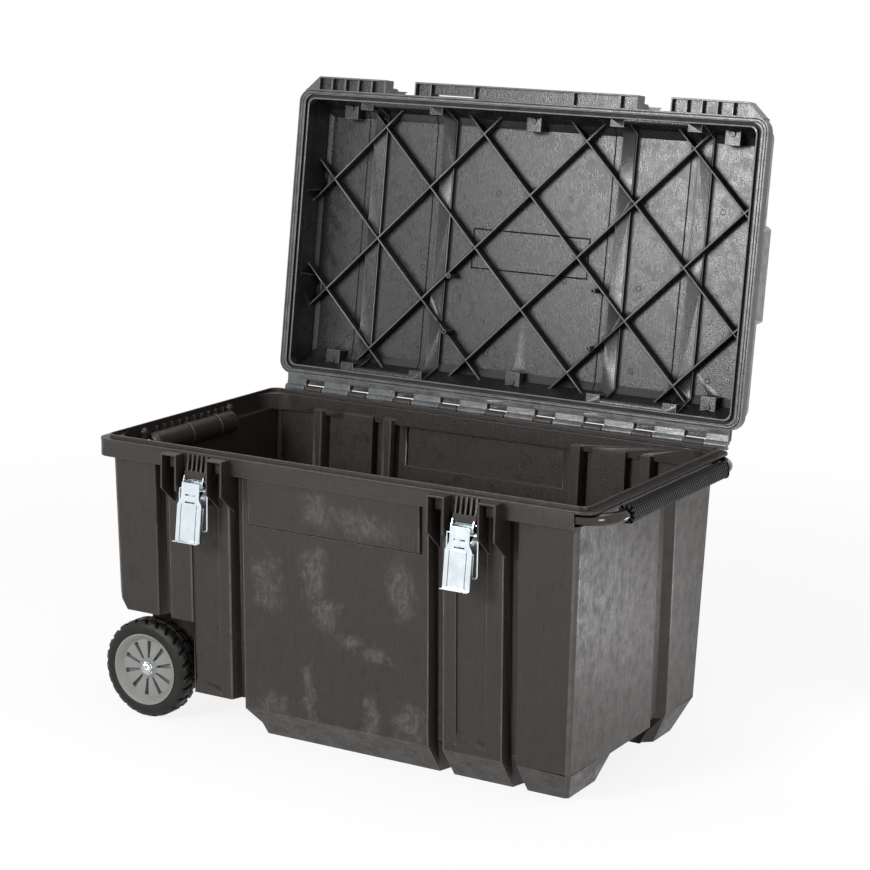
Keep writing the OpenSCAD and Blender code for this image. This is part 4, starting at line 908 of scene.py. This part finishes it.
def lid_gloss(tree):
    """Gloss of the lid, held back beside ribs and on each bead's far flank, where they shut out the light."""
    across, depth = lid_place(tree)[:2]
    flank = 0.0
    for bead in BEAD_PLACES:
        past_bead = calc(tree, "SUBTRACT", across, bead + BEAD_HALF)
        before_end = fade(tree, past_bead, *FLANK_ENDS)
        band = calc(tree, "MULTIPLY", fade(tree, past_bead, *FLANK_STARTS), before_end)
        flank = calc(tree, "MAXIMUM", flank, band)
    shade = tree.nodes.new("ShaderNodeAmbientOcclusion")
    shade.inputs["Distance"].default_value = RIB_SHADE
    covered = calc(tree, "MAXIMUM", fade(tree, shade.outputs["AO"], *SHUT_IN), flank)
    on_roof = fade(tree, depth, *ROOF_STARTS)
    return calc(tree, "MULTIPLY_ADD", calc(tree, "MULTIPLY", covered, on_roof), GLOSS_HELD_BACK, LID_GLOSS)


lid_plastic = black_moulding(
    "lid_plastic", dark=(0.002, 0.002, 0.0022), pale=(0.024, 0.024, 0.026),
    grain={"Streaks": 0.3, "Flecks": 0.7, "Mottling": 0.9}, skin_depth=0.0006, dust=0.0, roughness=0.27,
    marks=lid_marks, land_sheen=lid_land_sheen, gloss=lid_gloss)
# rib tops and rounded edges painted pale: mostly a painted highlight, with some rubbed wear
rubbed_and_highlit_lid = black_moulding(
    "rubbed_and_highlit_lid", dark=(0.09, 0.09, 0.094), pale=(0.22, 0.22, 0.225),
    grain={"Streaks": 0.4, "Flecks": 0.4, "Mottling": 1.2}, skin_depth=0.0003, dust=0.1, roughness=0.34)
painted(rounded_copy("lid_moulding", "lid_shell", lid_edge_size), lid_plastic, rubbed_and_highlit_lid)

# Seal: a strip of soft black foam, pressed into the groove round the lid's rim, where it closes
# against the tub's tongue.
seal_rubber = black_moulding(
    "seal_rubber", dark=(0.006, 0.006, 0.006), pale=(0.022, 0.022, 0.022),
    grain={"Streaks": 0.1, "Flecks": 0.3, "Mottling": 0.8}, skin_depth=0.0004, dust=0.2, roughness=0.7)
painted(rounded_copy("lid_foam_seal", "lid_seal", STEEL_EDGE), seal_rubber)

# Screws and keepers: blackened steel; the screws are driven into the lid's bosses, and the
# keepers that the latches' loops catch are riveted to its front.
black_steel = black_moulding(
    "black_steel", dark=(0.012, 0.012, 0.012), pale=(0.05, 0.05, 0.05),
    grain={"Streaks": 0.1, "Flecks": 0.2, "Mottling": 0.5}, skin_depth=0.0002, dust=0.1, roughness=0.3)
for name, node in (("lid_boss_screws", "lid_screws"), ("lid_latch_keepers", "lid_keepers"),
                   ("lid_keeper_rivets", "keeper_rivets")):
    painted(rounded_copy(name, node, STEEL_EDGE), black_steel)

# Hinge pin: one bright steel rod, pushed through the knuckles of tub and lid along the whole
# back edge.
painted(rounded_copy("hinge_rod", "hinge_pin", STEEL_EDGE), bright_zinc)

# Draw latches: pressed and zinc-plated steel, each a riveted base with ears, a lever on a pin
# and a wire loop hung in the lever's flanges.
lever_low, lever_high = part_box("latch_lever_right")
LATCH_X = (lever_low[0] + lever_high[0]) / 2
BORDER_ASIDE = 0.0152
BORDER_TOP = 0.402
BORDER_TOP_SOFT = 0.003
BORDER_LINE = 0.0007


def lever_border(tree):
    """Thin pressed lines beside both edges of each lever's plate."""
    across, _, up = axes(tree, place_on(tree))
    aside = calc(tree, "ABSOLUTE", calc(tree, "SUBTRACT", calc(tree, "ABSOLUTE", across), LATCH_X))
    line = line_near(tree, calc(tree, "SUBTRACT", aside, BORDER_ASIDE), BORDER_LINE)
    on_plate = fade(tree, up, BORDER_TOP, BORDER_TOP - BORDER_TOP_SOFT)
    return calc(tree, "MULTIPLY", calc(tree, "MULTIPLY", line, on_plate), facing_front(tree))


lever_zinc = plated_steel(
    "lever_zinc", dark=(0.62, 0.71, 0.76), pale=(0.84, 0.90, 0.92),
    grain={"Streaks": 0.5, "Flecks": 0.3, "Mottling": 0.5}, roughness=0.2, sheen=0.5, skin_strength=0.08,
    marks=lever_border, mark_colour=(0.14, 0.15, 0.155))
for side in ("left", "right"):
    for part, node, steel in (("base_plate", "base", bright_zinc), ("lever_plate", "lever", lever_zinc),
                              ("wire_loop", "bail", bright_zinc)):
        painted(rounded_copy(f"latch_{side}_{part}", f"latch_{node}_{side}", STEEL_EDGE), steel)
for name, node in (("latch_base_rivets", "latch_rivets"), ("latch_lever_pins", "latch_pins")):
    painted(rounded_copy(name, node, STEEL_EDGE), bright_zinc)
